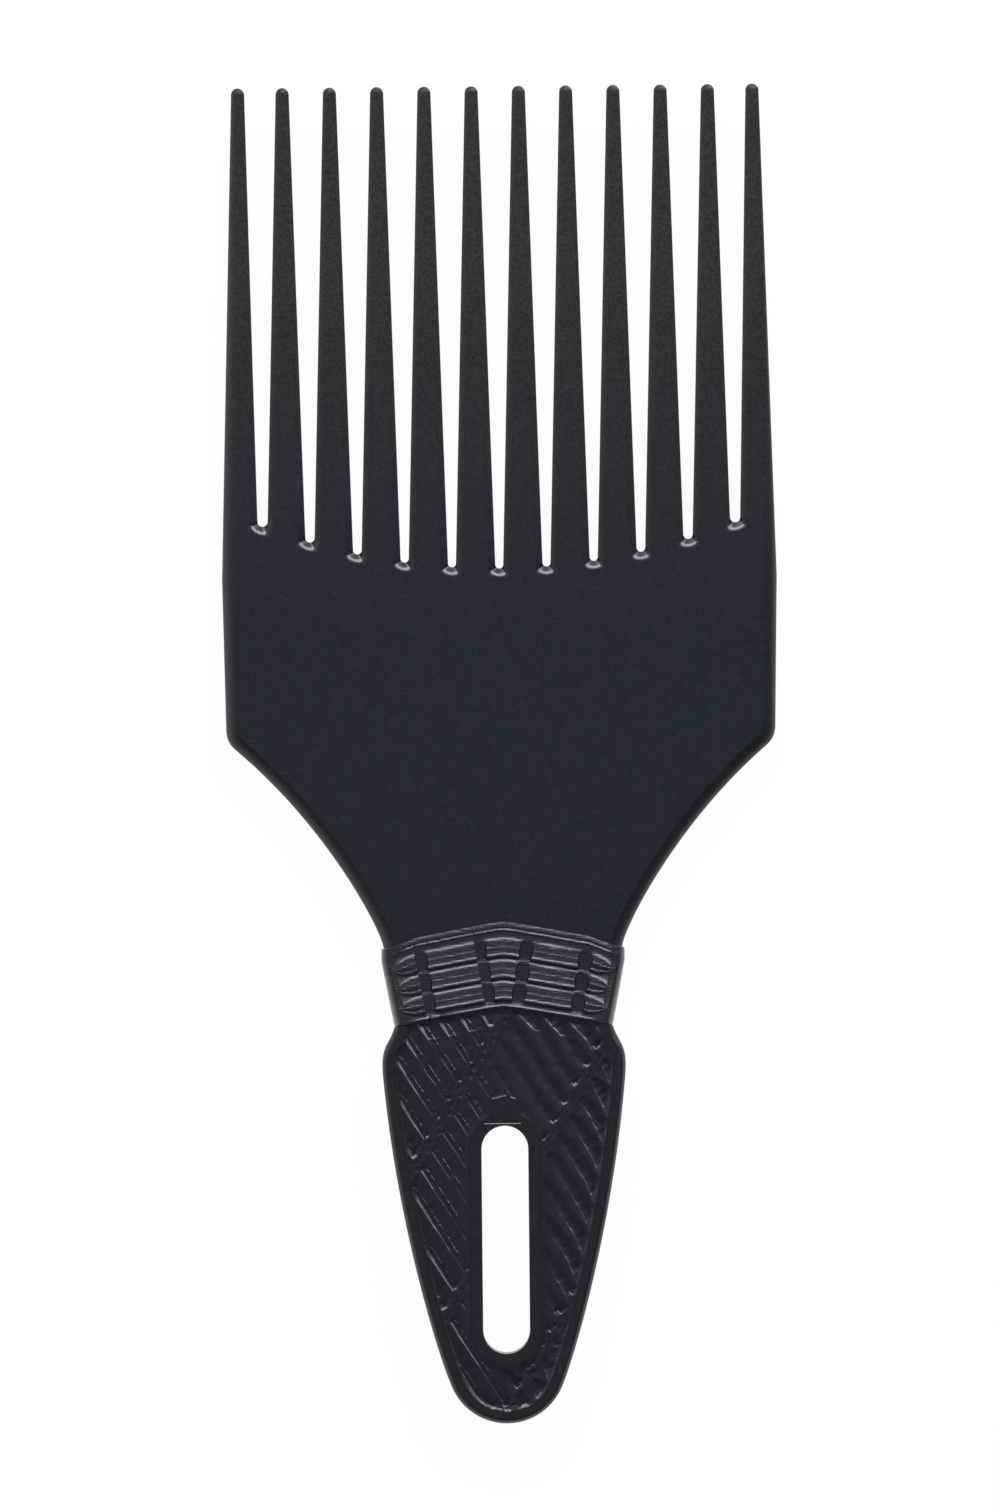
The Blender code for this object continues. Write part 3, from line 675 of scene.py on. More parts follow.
def blade_outline():
    """Outline of the blade and the form of its edge at each point."""
    shoulder = bezier(
        (NECK_HALF_WIDTH, COLLAR_TOP_SIDE),
        (0, SHOULDER_LOWER_PULL),
        leaning(-SHOULDER_UPPER_PULL, SHOULDER_SLANT_ANGLE),
        (SHOULDER_START_HALF_WIDTH, SHOULDER_START_HEIGHT),
        CURVE_STEPS,
    )
    neck_foot = (NECK_HALF_WIDTH, COLLAR_TOP_SIDE - OVERRUN)
    corner = (HEAD_FOOT_HALF_WIDTH, HEAD_FOOT_HEIGHT)
    widest = (HEAD_HALF_WIDTH, HEAD_WIDEST_HEIGHT)
    head_corner = rounded_corner(shoulder[-2], corner, widest, HEAD_CORNER_RADIUS, CORNER_STEPS)
    right = [neck_foot] + shoulder[:-1] + head_corner + [widest]
    head_rolls = [(HEAD_EDGE_ROLL, HEAD_EDGE_DROP, 0, 0)] * len(right)

    outline = list(right)
    rolls = list(head_rolls)
    for tooth in range(TOOTH_COUNT - 1, -1, -1):
        x = (tooth + 0.5 - TOOTH_COUNT / 2) * TOOTH_PITCH
        if tooth in (0, TOOTH_COUNT - 1):
            x -= math.copysign(OUTER_TOOTH_LEAN, x)
        outline += arc(x, TIP_CENTRE_HEIGHT, TIP_RADIUS, 0, math.pi, TIP_STEPS)
        rolls += tip_rolls()
        if tooth:
            gap_x, gap_y, radius = gap_end(tooth)
            outline += arc(gap_x, gap_y, radius, 0, -math.pi, GAP_END_STEPS)
            rolls += gap_end_rolls(gap_x, radius)
    outline += [(-x, y) for x, y in reversed(right)]
    return outline, rolls + head_rolls


def tang_outline(clearance, top):
    """Outline of the tang up to a height, or of its socket, which has a clearance round it."""
    half = TANG_HALF_WIDTH + clearance
    end = TANG_END_HEIGHT - clearance
    return mirrored([(half - TANG_CHAMFER, end), (half, end + TANG_CHAMFER), (half, top)])


def make_blade():
    """Head, teeth and neck in one plate, thinned towards the tips, with the tang joined on."""
    outline, rolls = blade_outline()
    bm = rolled_solid(outline, rolls, BLADE_THICKNESS / 2)

    outer_gap_end = max(gap_end(gap)[1] for gap in range(1, TOOTH_COUNT))
    everything = bm.verts[:] + bm.edges[:] + bm.faces[:]
    bmesh.ops.bisect_plane(bm, geom=everything, plane_co=(0, outer_gap_end, 0), plane_no=(0, 1, 0))
    tip_share = TOOTH_TIP_THICKNESS / BLADE_THICKNESS
    for vert in bm.verts:
        run = max(0, vert.co.y - outer_gap_end) / (COMB_LENGTH - outer_gap_end)
        vert.co.z *= 1 - (1 - tip_share) * run
    blade = place("blade", bm)

    reach = COLLAR_TOP_HALF_WIDTH + OVERRUN
    seat = across_comb(collar_top, (reach, CORD_END, COLLAR_BEND, *SEAT_PLACES), JOIN_GAP)
    seat = [(reach, COLLAR_FOOT_SIDE)] + seat + [(-reach, COLLAR_FOOT_SIDE)]
    cut(blade, "collar_seat", seat, -BLADE_THICKNESS, BLADE_THICKNESS)

    tang = tang_outline(0, COLLAR_TOP_APEX + OVERRUN)
    combine(blade, prism("tang", tang, -TANG_THICKNESS / 2, TANG_THICKNESS / 2), "UNION")
    soften(blade, CRISP_ANGLE)
    keep_faces_flat(blade)
    return blade


def collar_steps():
    """Steps down the collar: depth, height, kind and, on a cord, the share of the way across it."""
    steps = [(0, -COLLAR_TOP_ROUNDING, "edge", 0)]
    steps += [(depth, height, "upper", 0) for depth, height in UPPER_BORDER]
    for cord in range(CORD_COUNT):
        top = FIRST_CORD_DEPTH + cord * CORD_PITCH
        for depth, height in CORD_SECTION:
            steps.append((top + depth, height, "cord", depth / CORD_WIDTH))
    steps += [(depth, height, "lower", 0) for depth, height in LOWER_BORDER]
    steps.append((COLLAR_DEPTH, -COLLAR_FOOT_ROUNDING, "edge", 0))
    return steps


def collar_columns():
    """Steps across the front of the collar: place, kind and the side of a notch that it is on."""
    columns = [(0, "plain", 0)]
    for side in (-1, 1):
        for place_x in (*FACE_PLACES, COLLAR_BEND, LEAF_START):
            columns.append((side * place_x, "plain", 0))
        for middle in (INNER_NOTCH_PLACE, OUTER_NOTCH_PLACE):
            for edge in (-1, 1):
                wall = side * middle + edge * NOTCH_HALF_WIDTH
                columns.append((wall, "notch_edge", edge))
                columns.append((wall - edge * NOTCH_WALL, "notch_floor", edge))
        for step in range(1, LEAF_STEPS + 1):
            run = math.sin(math.pi / 2 * step / LEAF_STEPS)
            columns.append((side * (LEAF_START + (LEAF_TIP - LEAF_START) * run), "plain", 0))
        columns.append((side * CORD_END, "side", 0))
    for cuts, kind in ((UPPER_CUTS, "upper_cut"), (LOWER_CUTS, "lower_cut")):
        for middle in cuts:
            for edge in (-1, 1):
                columns.append((middle + edge * CUT_HALF_WIDTH, "plain", 0))
                columns.append((middle + edge * (CUT_HALF_WIDTH - CUT_WALL), kind, 0))
    return sorted(columns)


def collar_narrowing(depth):
    """How far the collar's side has drawn in at a depth below its top, straight first."""
    slanted = max(0, depth / COLLAR_DEPTH - COLLAR_STRAIGHT_SHARE) / (1 - COLLAR_STRAIGHT_SHARE)
    return (COLLAR_TOP_HALF_WIDTH - COLLAR_FOOT_HALF_WIDTH) * slanted


def collar_half(depth):
    """Half the collar's thickness at a depth below its top."""
    face_top = BLADE_THICKNESS / 2 + COLLAR_STEP
    face_foot = HANDLE_THICKNESS / 2 - COLLAR_FACE_DROP
    return face_top + (face_foot - face_top) * depth / COLLAR_DEPTH


def on_notch_floor(place_x):
    """Whether a place across the collar is on the floor of a notch."""
    floor_half = NOTCH_HALF_WIDTH - NOTCH_WALL + SAME_PLACE
    to_middles = [abs(abs(place_x) - middle) for middle in (INNER_NOTCH_PLACE, OUTER_NOTCH_PLACE)]
    return min(to_middles) < floor_half


def collar_point(column, step):
    """Point of the collar's front skin."""
    place_x, kind, edge = column
    depth, bump, step_kind, across = step
    reach = abs(place_x)

    if step_kind == "upper":
        ridge_end = RIDGE_END_RIGHT if place_x > 0 else RIDGE_END_LEFT
        bump *= min(1, max(RIDGE_LEAST_SHARE, (ridge_end - reach) / RIDGE_FADE))
        if kind == "upper_cut" and bump > CUT_RIDGE_HEIGHT:
            bump = 0
    elif step_kind == "lower":
        bump *= min(1, max(0, (LOWER_RIDGE_END - reach) / LOWER_RIDGE_FADE))
        if kind == "lower_cut":
            bump = 0
    elif step_kind == "cord":
        run = min(1, max(0, reach - LEAF_START) / (LEAF_TIP - LEAF_START))
        leaf = max(LEAF_LEAST_SHARE, (1 - run ** 2) ** LEAF_ROUNDNESS)
        middle = depth + (LEAF_TIP_SHARE - across) * CORD_WIDTH
        depth = middle + (depth - middle) * leaf
        bump *= leaf
        if across > CORD_DIM_START_SHARE:
            bump *= 1 - CORD_DIM_SHARE * float(smooth((reach - CORD_DIM_FROM) / CORD_DIM_RUN))
        if kind == "side":
            bump = 0
        if on_notch_floor(place_x):
            bump = -NOTCH_FALL * across
        if kind in ("notch_edge", "notch_floor"):
            place_x += edge * NOTCH_BULGE * (1 - (2 * across - 1) ** 2)

    narrowing_share = min(1, reach / (INNER_NOTCH_PLACE - NOTCH_HALF_WIDTH))
    x = place_x - math.copysign(collar_narrowing(depth), place_x) * narrowing_share
    y = collar_top(place_x) + (collar_foot(x) - collar_top(place_x)) * depth / COLLAR_DEPTH
    return x, y, collar_half(depth) + bump


def collar_side_points(step, x_sign):
    """Round side of the collar between the ends of the front and the back."""
    depth, bump, step_kind, across = step
    if step_kind != "edge":
        bump = 0
    half = collar_half(depth) + bump
    narrowing = collar_narrowing(depth)
    points = []
    for index in range(1, EDGE_STEPS * 2):
        angle = math.pi / 2 - math.pi * index / (EDGE_STEPS * 2)
        x = CORD_END - narrowing + (COLLAR_TOP_HALF_WIDTH - CORD_END + bump / 2) * math.cos(angle)
        y = COLLAR_TOP_SIDE + (collar_foot(x) - COLLAR_TOP_SIDE) * depth / COLLAR_DEPTH
        points.append((x_sign * x, y, half * math.sin(angle)))
    return points


def make_collar():
    """Ring round the neck: a skin lofted down the profile, closed by the tunnel for the tang."""
    columns = collar_columns()
    steps = collar_steps()
    loops = []
    for step in steps:
        front = [collar_point(column, step) for column in columns]
        right = collar_side_points(step, 1)
        back = [(-x, y, -z) for x, y, z in front]
        left = [(x, y, -z) for x, y, z in collar_side_points(step, -1)]
        loops.append(front + right + back + left)

    upper = []
    lower = []
    for top, foot in zip(loops[0], loops[-1]):
        x = max(-SOCKET_HALF_WIDTH, min(SOCKET_HALF_WIDTH, top[0]))
        z = max(-SOCKET_HALF_HEIGHT, min(SOCKET_HALF_HEIGHT, top[2]))
        upper.append((x, top[1], z))
        lower.append((x, collar_foot(x), z))
    loops = [upper] + loops + [lower]

    bm = bmesh.new()
    verts = [[bm.verts.new(corner) for corner in loop] for loop in loops]
    skin(bm, verts + verts[:1])
    bmesh.ops.remove_doubles(bm, verts=bm.verts, dist=WELD_REACH)
    collar = place("collar_ring", bm)
    soften(collar, CRISP_ANGLE)
    return collar


def handle_side(inset):
    """Right side of the handle, from the middle of its end up to the neck, drawn in by an inset."""
    sweep = END_SWEEP_ANGLE
    side = arc(0, END_RADIUS, END_RADIUS, -math.pi / 2, -sweep, CURVE_STEPS)
    side_top = (SIDE_TOP_HALF_WIDTH, SIDE_TOP_HEIGHT)
    side += bezier(
        side[-1],
        leaning(SIDE_LOWER_PULL, sweep),
        (-SIDE_UPPER_PULL * SIDE_TOP_LEAN_SHARE, -SIDE_UPPER_PULL),
        side_top,
        CURVE_STEPS,
    )[1:]
    neck = (COLLAR_FOOT_HALF_WIDTH, COLLAR_FOOT_SIDE)
    side += bezier(
        side_top,
        (HIP_PULL * SIDE_TOP_LEAN_SHARE, HIP_PULL),
        (NECK_PULL * NECK_LEAN_SHARE, -NECK_PULL),
        neck,
        CURVE_STEPS // 2,
    )[1:]
    side.append((COLLAR_FOOT_HALF_WIDTH, COLLAR_TOP_APEX))
    if inset == 0:
        return side
    mitres = inward(mirrored(side))
    drawn_in = [tuple(Vector(point) + mitre * inset) for point, mitre in zip(side, mitres)]
    drawn_in[0] = (0, inset)
    drawn_in[-1] = (COLLAR_FOOT_HALF_WIDTH - inset, COLLAR_TOP_APEX)
    return drawn_in


def slot_side(radius, last_angle):
    """Right side of the slot or its lip: a round end of a radius, and another that runs to an angle."""
    low_end = arc(0, SLOT_LOW_END + SLOT_WIDTH / 2, radius, -math.pi / 2, 0, TIP_STEPS)
    high_end = arc(0, SLOT_HIGH_END - SLOT_WIDTH / 2, radius, 0, last_angle, TIP_STEPS)
    return low_end + high_end


def slot_outline():
    """The hang slot, straight sided with round ends."""
    return mirrored(slot_side(SLOT_WIDTH / 2, math.pi / 2)[:-1], SLOT_HIGH_END)


def lip_outline(width):
    """The raised lip round the slot, with the small peaked tab above it."""
    radius = SLOT_WIDTH / 2 + width
    grown = width - LIP_WIDTH
    tab_half = TAB_HALF_WIDTH + grown
    side = slot_side(radius, math.acos(tab_half / radius))
    return mirrored(side + [(tab_half, TAB_SHOULDER_HEIGHT + grown)], TAB_PEAK_HEIGHT + grown)


def collar_zone():
    """Outline of everything above the collar's lower edge."""
    reach = COLLAR_TOP_HALF_WIDTH + OVERRUN
    above = COLLAR_TOP_APEX + OVERRUN
    edge = across_comb(collar_foot, (reach, *FOOT_PLACES), -JOIN_GAP)
    return [(reach, above), (-reach, above)] + list(reversed(edge))


def slot_mark():
    """Wedge for the fine line above the slot: steep on the slot's side, shallow towards the tab."""
    section = (
        (SLOT_MARK_HEIGHT - SLOT_MARK_DEPTH, PANEL_FACE + SLOT_MARK_DEPTH / 2),
        (SLOT_MARK_HEIGHT + 2 * SLOT_MARK_DEPTH, PANEL_FACE - SLOT_MARK_DEPTH),
        (SLOT_MARK_HEIGHT + SLOT_MARK_FADE, PANEL_FACE + SLOT_MARK_DEPTH / 2),
    )
    bm = bmesh.new()
    ends = [[bm.verts.new((x, y, z)) for y, z in section] for x in SLOT_MARK_SPAN]
    skin(bm, ends)
    bm.faces.new(reversed(ends[0]))
    bm.faces.new(ends[1])
    return place("slot_mark", bm)


def make_handle():
    """Rim and core, with the slot, the tang's socket and a recess for each grip panel."""
    outline = mirrored(handle_side(0))
    rolls = [(HANDLE_EDGE_ROLL, HANDLE_EDGE_DROP, 0, 0)] * len(outline)
    handle = place("handle_shell", rolled_solid(outline, rolls, HANDLE_THICKNESS / 2))
    cut(handle, "collar_zone", collar_zone(), -HANDLE_THICKNESS, HANDLE_THICKNESS)

    socket = tang_outline(TANG_CLEARANCE, COLLAR_TOP_APEX)
    cut(handle, "tang_socket", socket, -SOCKET_HALF_HEIGHT, SOCKET_HALF_HEIGHT)
    cut(handle, "hang_slot", slot_outline(), -HANDLE_THICKNESS, HANDLE_THICKNESS)
    for low, high in ((RECESS_FLOOR, HANDLE_THICKNESS), (-HANDLE_THICKNESS, -RECESS_FLOOR)):
        recess = prism("recess", mirrored(handle_side(RIM_WIDTH)), low, high)
        cut(recess, "lip", lip_outline(LIP_WIDTH), low - OVERRUN, high + OVERRUN)
        combine(handle, recess, "DIFFERENCE")
    combine(handle, slot_mark(), "DIFFERENCE")
    soften(handle, HANDLE_CRISP_ANGLE)
    keep_faces_flat(handle)
    return handle


def rough(x, y, field):
    """Smooth random value at each point, from a table that repeats."""
    seed, cell, stretch_x, stretch_y, least, greatest = ROUGH_FIELDS[field]
    table = np.random.default_rng(seed).random((ROUGH_CELLS, ROUGH_CELLS))
    x = x * stretch_x / cell
    y = y * stretch_y / cell
    columns = np.floor(x).astype(int)
    rows = np.floor(y).astype(int)
    share_x = smooth(x - columns)
    corners = []
    for row in (rows % ROUGH_CELLS, (rows + 1) % ROUGH_CELLS):
        low = table[row, columns % ROUGH_CELLS]
        high = table[row, (columns + 1) % ROUGH_CELLS]
        corners.append(low + (high - low) * share_x)
    value = corners[0] + (corners[1] - corners[0]) * smooth(y - rows)
    return least + (greatest - least) * value


def turn_places(x, y):
    """Each point's offset from its groove, its run along it, and its runs to the groove's two ends."""
    across = x * WRAP_SIN + y * WRAP_COS - WRAP_FIRST_OFFSET
    along = x * WRAP_COS - y * WRAP_SIN
    across = across + WRAP_WOBBLE * rough(across, along, "wobble")
    groove = np.round(across / WRAP_PITCH) * WRAP_PITCH
    offset = across - groove

    own_share = smooth((np.abs(offset) - OWN_LINE_FROM) / OWN_LINE_RUN)
    line = groove + offset * own_share + WRAP_FIRST_OFFSET
    seam_place = along * SEAM_CROSSING - line * math.cos(WRAP_ANGLE + SEAM_ANGLE)
    to_end = np.full(x.shape, FAR)
    to_start = np.full(x.shape, FAR)
    for low, high in SEAM_BANDS:
        before = (low - seam_place) / SEAM_CROSSING
        after = (seam_place - high) / SEAM_CROSSING
        outside = np.maximum(before, after) >= 0
        to_end = np.minimum(to_end, np.where(before > 0, before, FAR)) * outside
        to_start = np.minimum(to_start, np.where(after > 0, after, FAR)) * outside
    return offset, along, to_end, to_start


def near(distance, reach):
    """1 at a border, falling off to 0 over a few times the reach."""
    return np.exp(-((distance / reach) ** 2))


def faded(relief, borders, reaches):
    """Relief that runs out at each border within a reach."""
    for distance, reach in zip(borders, reaches):
        relief = relief * smooth(distance / reach)
    return relief


def crisp_grooves(offset, along, borders):
    """Strips that overlap like shingles: a lit wall under each, and a broken line that closes a lens."""
    to_end, to_start, to_rim, to_collar, to_hole = borders
    at_rim = near(to_rim, CRISP_RIM_REACH)
    first = CRISP_LINE_OFFSET - CRISP_RIM_SHIFT * at_rim
    wall = CRISP_WALL + CRISP_RIM_WIDENING * at_rim
    run = np.mod(offset - first, WRAP_PITCH)
    strip = smooth(run / wall) * np.clip((WRAP_PITCH - run) / (WRAP_PITCH - wall), 0, 1)
    depth = CRISP_DEPTH * rough(along, offset, "crisp_waver")
    depth = depth + CRISP_RIM_DEPTH * at_rim + CRISP_COLLAR_DEPTH * near(to_collar, CRISP_COLLAR_REACH)

    closings = [distance / run for distance, run in zip((to_end, to_start, to_rim, to_hole), LENS_RUNS)]
    lens = wall / 2 + LENS_WIDTH * np.sqrt(np.clip(np.min(closings, axis=0), 0, 1))
    broken = smooth(rough(along, offset, "second_line"))
    ridge = smooth(1 - np.abs(run - lens) / SECOND_LINE_HALF_WIDTH)
    within_lens = smooth((run - wall * LENS_START_SHARE) / LENS_FADE) * smooth((lens - run) / LENS_FADE)
    relief = depth * strip - SECOND_LINE_HEIGHT * broken * ridge
    grain = (LENS_GRAIN + LENS_RIM_GRAIN * at_rim) * within_lens * rough(along, offset, "lens_grain")
    return faded(relief - grain, borders, CRISP_FADES)


def soft_ridges(offset, along, borders):
    """Soft ridges: a dark rising side, a light falling one, and a lit crest that bends in at the rim."""
    to_end, to_start, to_rim, to_collar, to_hole = borders
    widening = smooth(np.minimum(to_start, to_hole) / SOFT_NARROW_RUN)
    narrow = SOFT_NARROW_SHARE + (1 - SOFT_NARROW_SHARE) * widening
    waver = SOFT_WAVER * rough(along, offset, "soft_waver")
    run = np.mod(offset + waver - SOFT_LOW_OFFSET, WRAP_PITCH)
    dark_width = SOFT_DARK_WIDTH * narrow
    rising = run < dark_width
    share = np.where(rising, 1 - run / dark_width, (run - dark_width) / (WRAP_PITCH - dark_width))
    share = SOFT_STRAIGHT_SHARE * share + (1 - SOFT_STRAIGHT_SHARE) * smooth(share)
    crest_run = CREST_PLACE - CREST_BEND * near(to_rim, CREST_BEND_REACH)
    crest = np.where(rising, 1 - run / dark_width, smooth((run - crest_run) / CREST_WALL))
    crest = crest * (CREST_LEAST_SHARE + near(to_rim, CREST_REACH)) * rough(along, offset, "crest")

    depth = SOFT_DEPTH * narrow + SOFT_COLLAR_DEPTH * near(to_collar, SOFT_COLLAR_REACH)
    depth = depth * share + CREST_HEIGHT * crest + SOFT_GRAIN * rough(along, offset, "soft_grain")
    end_wall = SOFT_END_WALL + SOFT_END_WIDENING * smooth((run - dark_width) / SOFT_END_RUN)
    return faded(depth, borders, (end_wall, *SOFT_FADES))


def seam_marks(x, y):
    """Drop-shaped marks pressed along the seams, each deepest at its steep lower end."""
    depth = np.zeros(x.shape)
    turns = range(-TURNS_BELOW, math.ceil(COLLAR_FOOT_APEX / WRAP_PITCH) + TURNS_ABOVE)
    for number, (offset, seam_place, length, half_width, full_depth, lean) in enumerate(SEAM_MARKS):
        chance = np.random.default_rng(FIRST_MARK_SEED + number)
        for turn in turns:
            size = chance.uniform(*MARK_SIZES)
            shift = chance.uniform(-MARK_SHIFT, MARK_SHIFT)
            line = turn * WRAP_PITCH + WRAP_FIRST_OFFSET + offset
            foot_x = (line * math.cos(SEAM_ANGLE) + seam_place * WRAP_COS) / SEAM_CROSSING + shift
            foot_y = (line * math.sin(SEAM_ANGLE) - seam_place * WRAP_SIN) / SEAM_CROSSING
            rise = (y - foot_y) / (length * size)
            aside = np.abs(x - foot_x - lean * (y - foot_y)) / half_width
            foot_wall = MARK_FOOT_WALL + MARK_FOOT_WIDENING * np.clip(1 - aside, 0, 1) ** 2
            drop = smooth(rise * length / foot_wall) * smooth(1 - rise) ** MARK_TIP_POWER
            drop = drop * smooth((1 - aside) / MARK_WALL_SHARE)
            depth = np.maximum(depth, full_depth * size * drop)
    return depth


def border_lines(x, y, to_rim, to_hole):
    """Depth of the lit lines beside the tab above the slot and beside the rim round the butt."""
    on_tab = (y > TAB_SHOULDER_HEIGHT - TAB_LINE_BELOW) & (y < TAB_PEAK_HEIGHT + TAB_LINE_ABOVE)
    in_span = [(x > low) & (x < high) for low, high in TAB_LINE_SPANS]
    tab_line = on_tab & np.any(in_span, axis=0)
    at_butt = smooth((BUTT_LINE_HEIGHT - y) / BUTT_LINE_FADE) * (to_rim < FAR)
    butt_line = at_butt * smooth(rough(x, y, "butt_line"))
    tab_depth = TAB_LINE_DEPTH * tab_line * np.interp(to_hole, TAB_LINE_RUNS, (0, 1, 0))
    return tab_depth + BUTT_LINE_DEPTH * butt_line * np.interp(to_rim, BUTT_LINE_RUNS, (0, 1, 0))


def wrap_depth(x, y, to_outer, to_hole):
    """Depth of the wrap relief below the panel's face, from the distances to its two borders."""
    to_collar = collar_foot(x) - y
    to_rim = np.where(to_collar < COLLAR_NEARER_SHARE * to_outer, FAR, to_outer)
    offset, along, to_end, to_start = turn_places(x, y)
    borders = (to_end, to_start, to_rim, to_collar, to_hole)
    crisp = crisp_grooves(offset, along, borders)
    soft = soft_ridges(offset, along, borders)
    softness = smooth((x - SOFTENING[0]) / (SOFTENING[1] - SOFTENING[0]))
    depth = crisp * (1 - softness) + soft * softness + seam_marks(x, y)

    at_seam = near(np.minimum(to_end, to_start), SEAM_GRAIN_REACH)
    seam_place = x * math.sin(SEAM_ANGLE) - y * math.cos(SEAM_ANGLE)
    at_butt = near(seam_place - SEAM_BANDS[-1][1], BUTT_MARKS_REACH)
    at_butt = smooth((BUTT_MARKS_HEIGHT - y) / BUTT_MARKS_FADE) * at_butt
    depth = depth + SEAM_GRAIN * at_seam * rough(x, y, "seam_grain")
    depth = depth + BUTT_MARKS_DEPTH * at_butt * rough(x, y, "butt_marks")
    rest = np.minimum(smooth(to_outer / REST_RIM_RUN), np.clip(to_hole / REST_SLOT_RUN, 0, 1))
    depth = depth * smooth(np.minimum(to_outer, to_hole) / BORDER_WALL) + REST_DEPTH * rest
    depth = depth + border_lines(x, y, to_rim, to_hole)
    return np.clip(depth, 0, PANEL_THICKNESS / 2)


def border_distance(x, y, outline):
    """Distance of each point to a closed border, the nearest place on it, and whether it is inside."""
    best = np.full(x.shape, FAR)
    near_x = np.zeros(x.shape)
    near_y = np.zeros(x.shape)
    within = np.zeros(x.shape, bool)
    for (ax, ay), (bx, by) in zip(outline, outline[1:] + outline[:1]):
        run_x = bx - ax
        run_y = by - ay
        share = ((x - ax) * run_x + (y - ay) * run_y) / (run_x ** 2 + run_y ** 2)
        share = np.clip(share, 0, 1)
        foot_x = ax + share * run_x
        foot_y = ay + share * run_y
        distance = np.hypot(x - foot_x, y - foot_y)
        closer = distance < best
        best = np.where(closer, distance, best)
        near_x = np.where(closer, foot_x, near_x)
        near_y = np.where(closer, foot_y, near_y)
        if ay != by:
            crossed = (ay > y) != (by > y)
            crossing_x = ax + (y - ay) * run_x / run_y
            within ^= crossed & (x < crossing_x)
    return best, near_x, near_y, within


def panel_borders():
    """The outer border of a grip panel and the border of its hole round the lip."""
    side = handle_side(RIM_WIDTH + JOIN_GAP)[:-1]
    top_x = side[-1][0]
    side[-1] = (top_x, collar_foot(top_x) - JOIN_GAP)
    side += [(x, collar_foot(x) - JOIN_GAP) for x in FOOT_PLACES]
    outer = mirrored(side, collar_foot(0) - JOIN_GAP)
    return outer, lip_outline(LIP_WIDTH + JOIN_GAP)


def wrap_grid(outline):
    """Grid of points over an outline, with rows along the turns that are closest at the grooves."""
    across_span = [x * WRAP_SIN + y * WRAP_COS for x, y in outline]
    along_span = [x * WRAP_COS - y * WRAP_SIN for x, y in outline]
    first_turn = math.floor(min(across_span) / WRAP_PITCH) - 1
    last_turn = math.ceil(max(across_span) / WRAP_PITCH) + 1
    across = []
    for turn in range(first_turn, last_turn + 1):
        across += [WRAP_FIRST_OFFSET + turn * WRAP_PITCH + column for column in WRAP_COLUMNS]
    along = np.arange(min(along_span) - 2 * WRAP_STEP, max(along_span) + 2 * WRAP_STEP, WRAP_STEP)
    across, along = np.meshgrid(np.array(across), along, indexing="ij")
    return across * WRAP_SIN + along * WRAP_COS, across * WRAP_COS - along * WRAP_SIN


def panel_mesh(name):
    """Closed grip panel: a relief on a slanted grid, cut to its borders, with sides and a flat floor."""
    outer, hole = panel_borders()
    x, y = wrap_grid(outer)
    to_outer, outer_x, outer_y, in_outer = border_distance(x, y, outer)
    to_hole, hole_x, hole_y, in_hole = border_distance(x, y, hole)
    within = in_outer & ~in_hole
    x = np.where(within, x, np.where(to_hole < to_outer, hole_x, outer_x))
    y = np.where(within, y, np.where(to_hole < to_outer, hole_y, outer_y))
    z = PANEL_FACE - wrap_depth(x, y, np.where(within, to_outer, 0), np.where(within, to_hole, 0))

    kept = within[:-1, :-1] | within[1:, :-1] | within[:-1, 1:] | within[1:, 1:]
    numbers = np.arange(x.size).reshape(x.shape)
    corners = (numbers[:-1, :-1], numbers[:-1, 1:], numbers[1:, 1:], numbers[1:, :-1])
    cells = np.stack([corner[kept] for corner in corners], axis=1)
    used = np.unique(cells)
    renumbered = np.zeros(x.size, int)
    renumbered[used] = np.arange(used.size)
    points = np.stack((x.ravel()[used], y.ravel()[used], z.ravel()[used]), axis=1)
    mesh = bpy.data.meshes.new(name)
    mesh.from_pydata(points.tolist(), [], renumbered[cells].tolist())

    bm = bmesh.new()
    bm.from_mesh(mesh)
    bpy.data.meshes.remove(mesh)
    rim = [vert for vert in bm.verts if vert.is_boundary]
    bmesh.ops.remove_doubles(bm, verts=rim, dist=PANEL_WELD_REACH)
    border = [edge for edge in bm.edges if edge.is_boundary]
    grown = bmesh.ops.extrude_edge_only(bm, edges=border)["geom"]
    for item in grown:
        if isinstance(item, bmesh.types.BMVert):
            item.co.z = RECESS_FLOOR
    floor = [item for item in grown if isinstance(item, bmesh.types.BMEdge)]
    bmesh.ops.triangle_fill(bm, edges=floor, use_beauty=True, normal=(0, 0, -1))
    return bm


def make_panels():
    """The two grip panels: one mesh, used as it is in front and turned over behind."""
    front = place("grip_front", panel_mesh("grip_front"))
    soften(front, PANEL_CRISP_ANGLE)

    rear_mesh = front.data.copy()
    rear_mesh.transform(Matrix.Translation((0, 0, HANDLE_THICKNESS)) @ Matrix.Diagonal((-1, 1, -1, 1)))
    return front, add_object("grip_rear", rear_mesh)


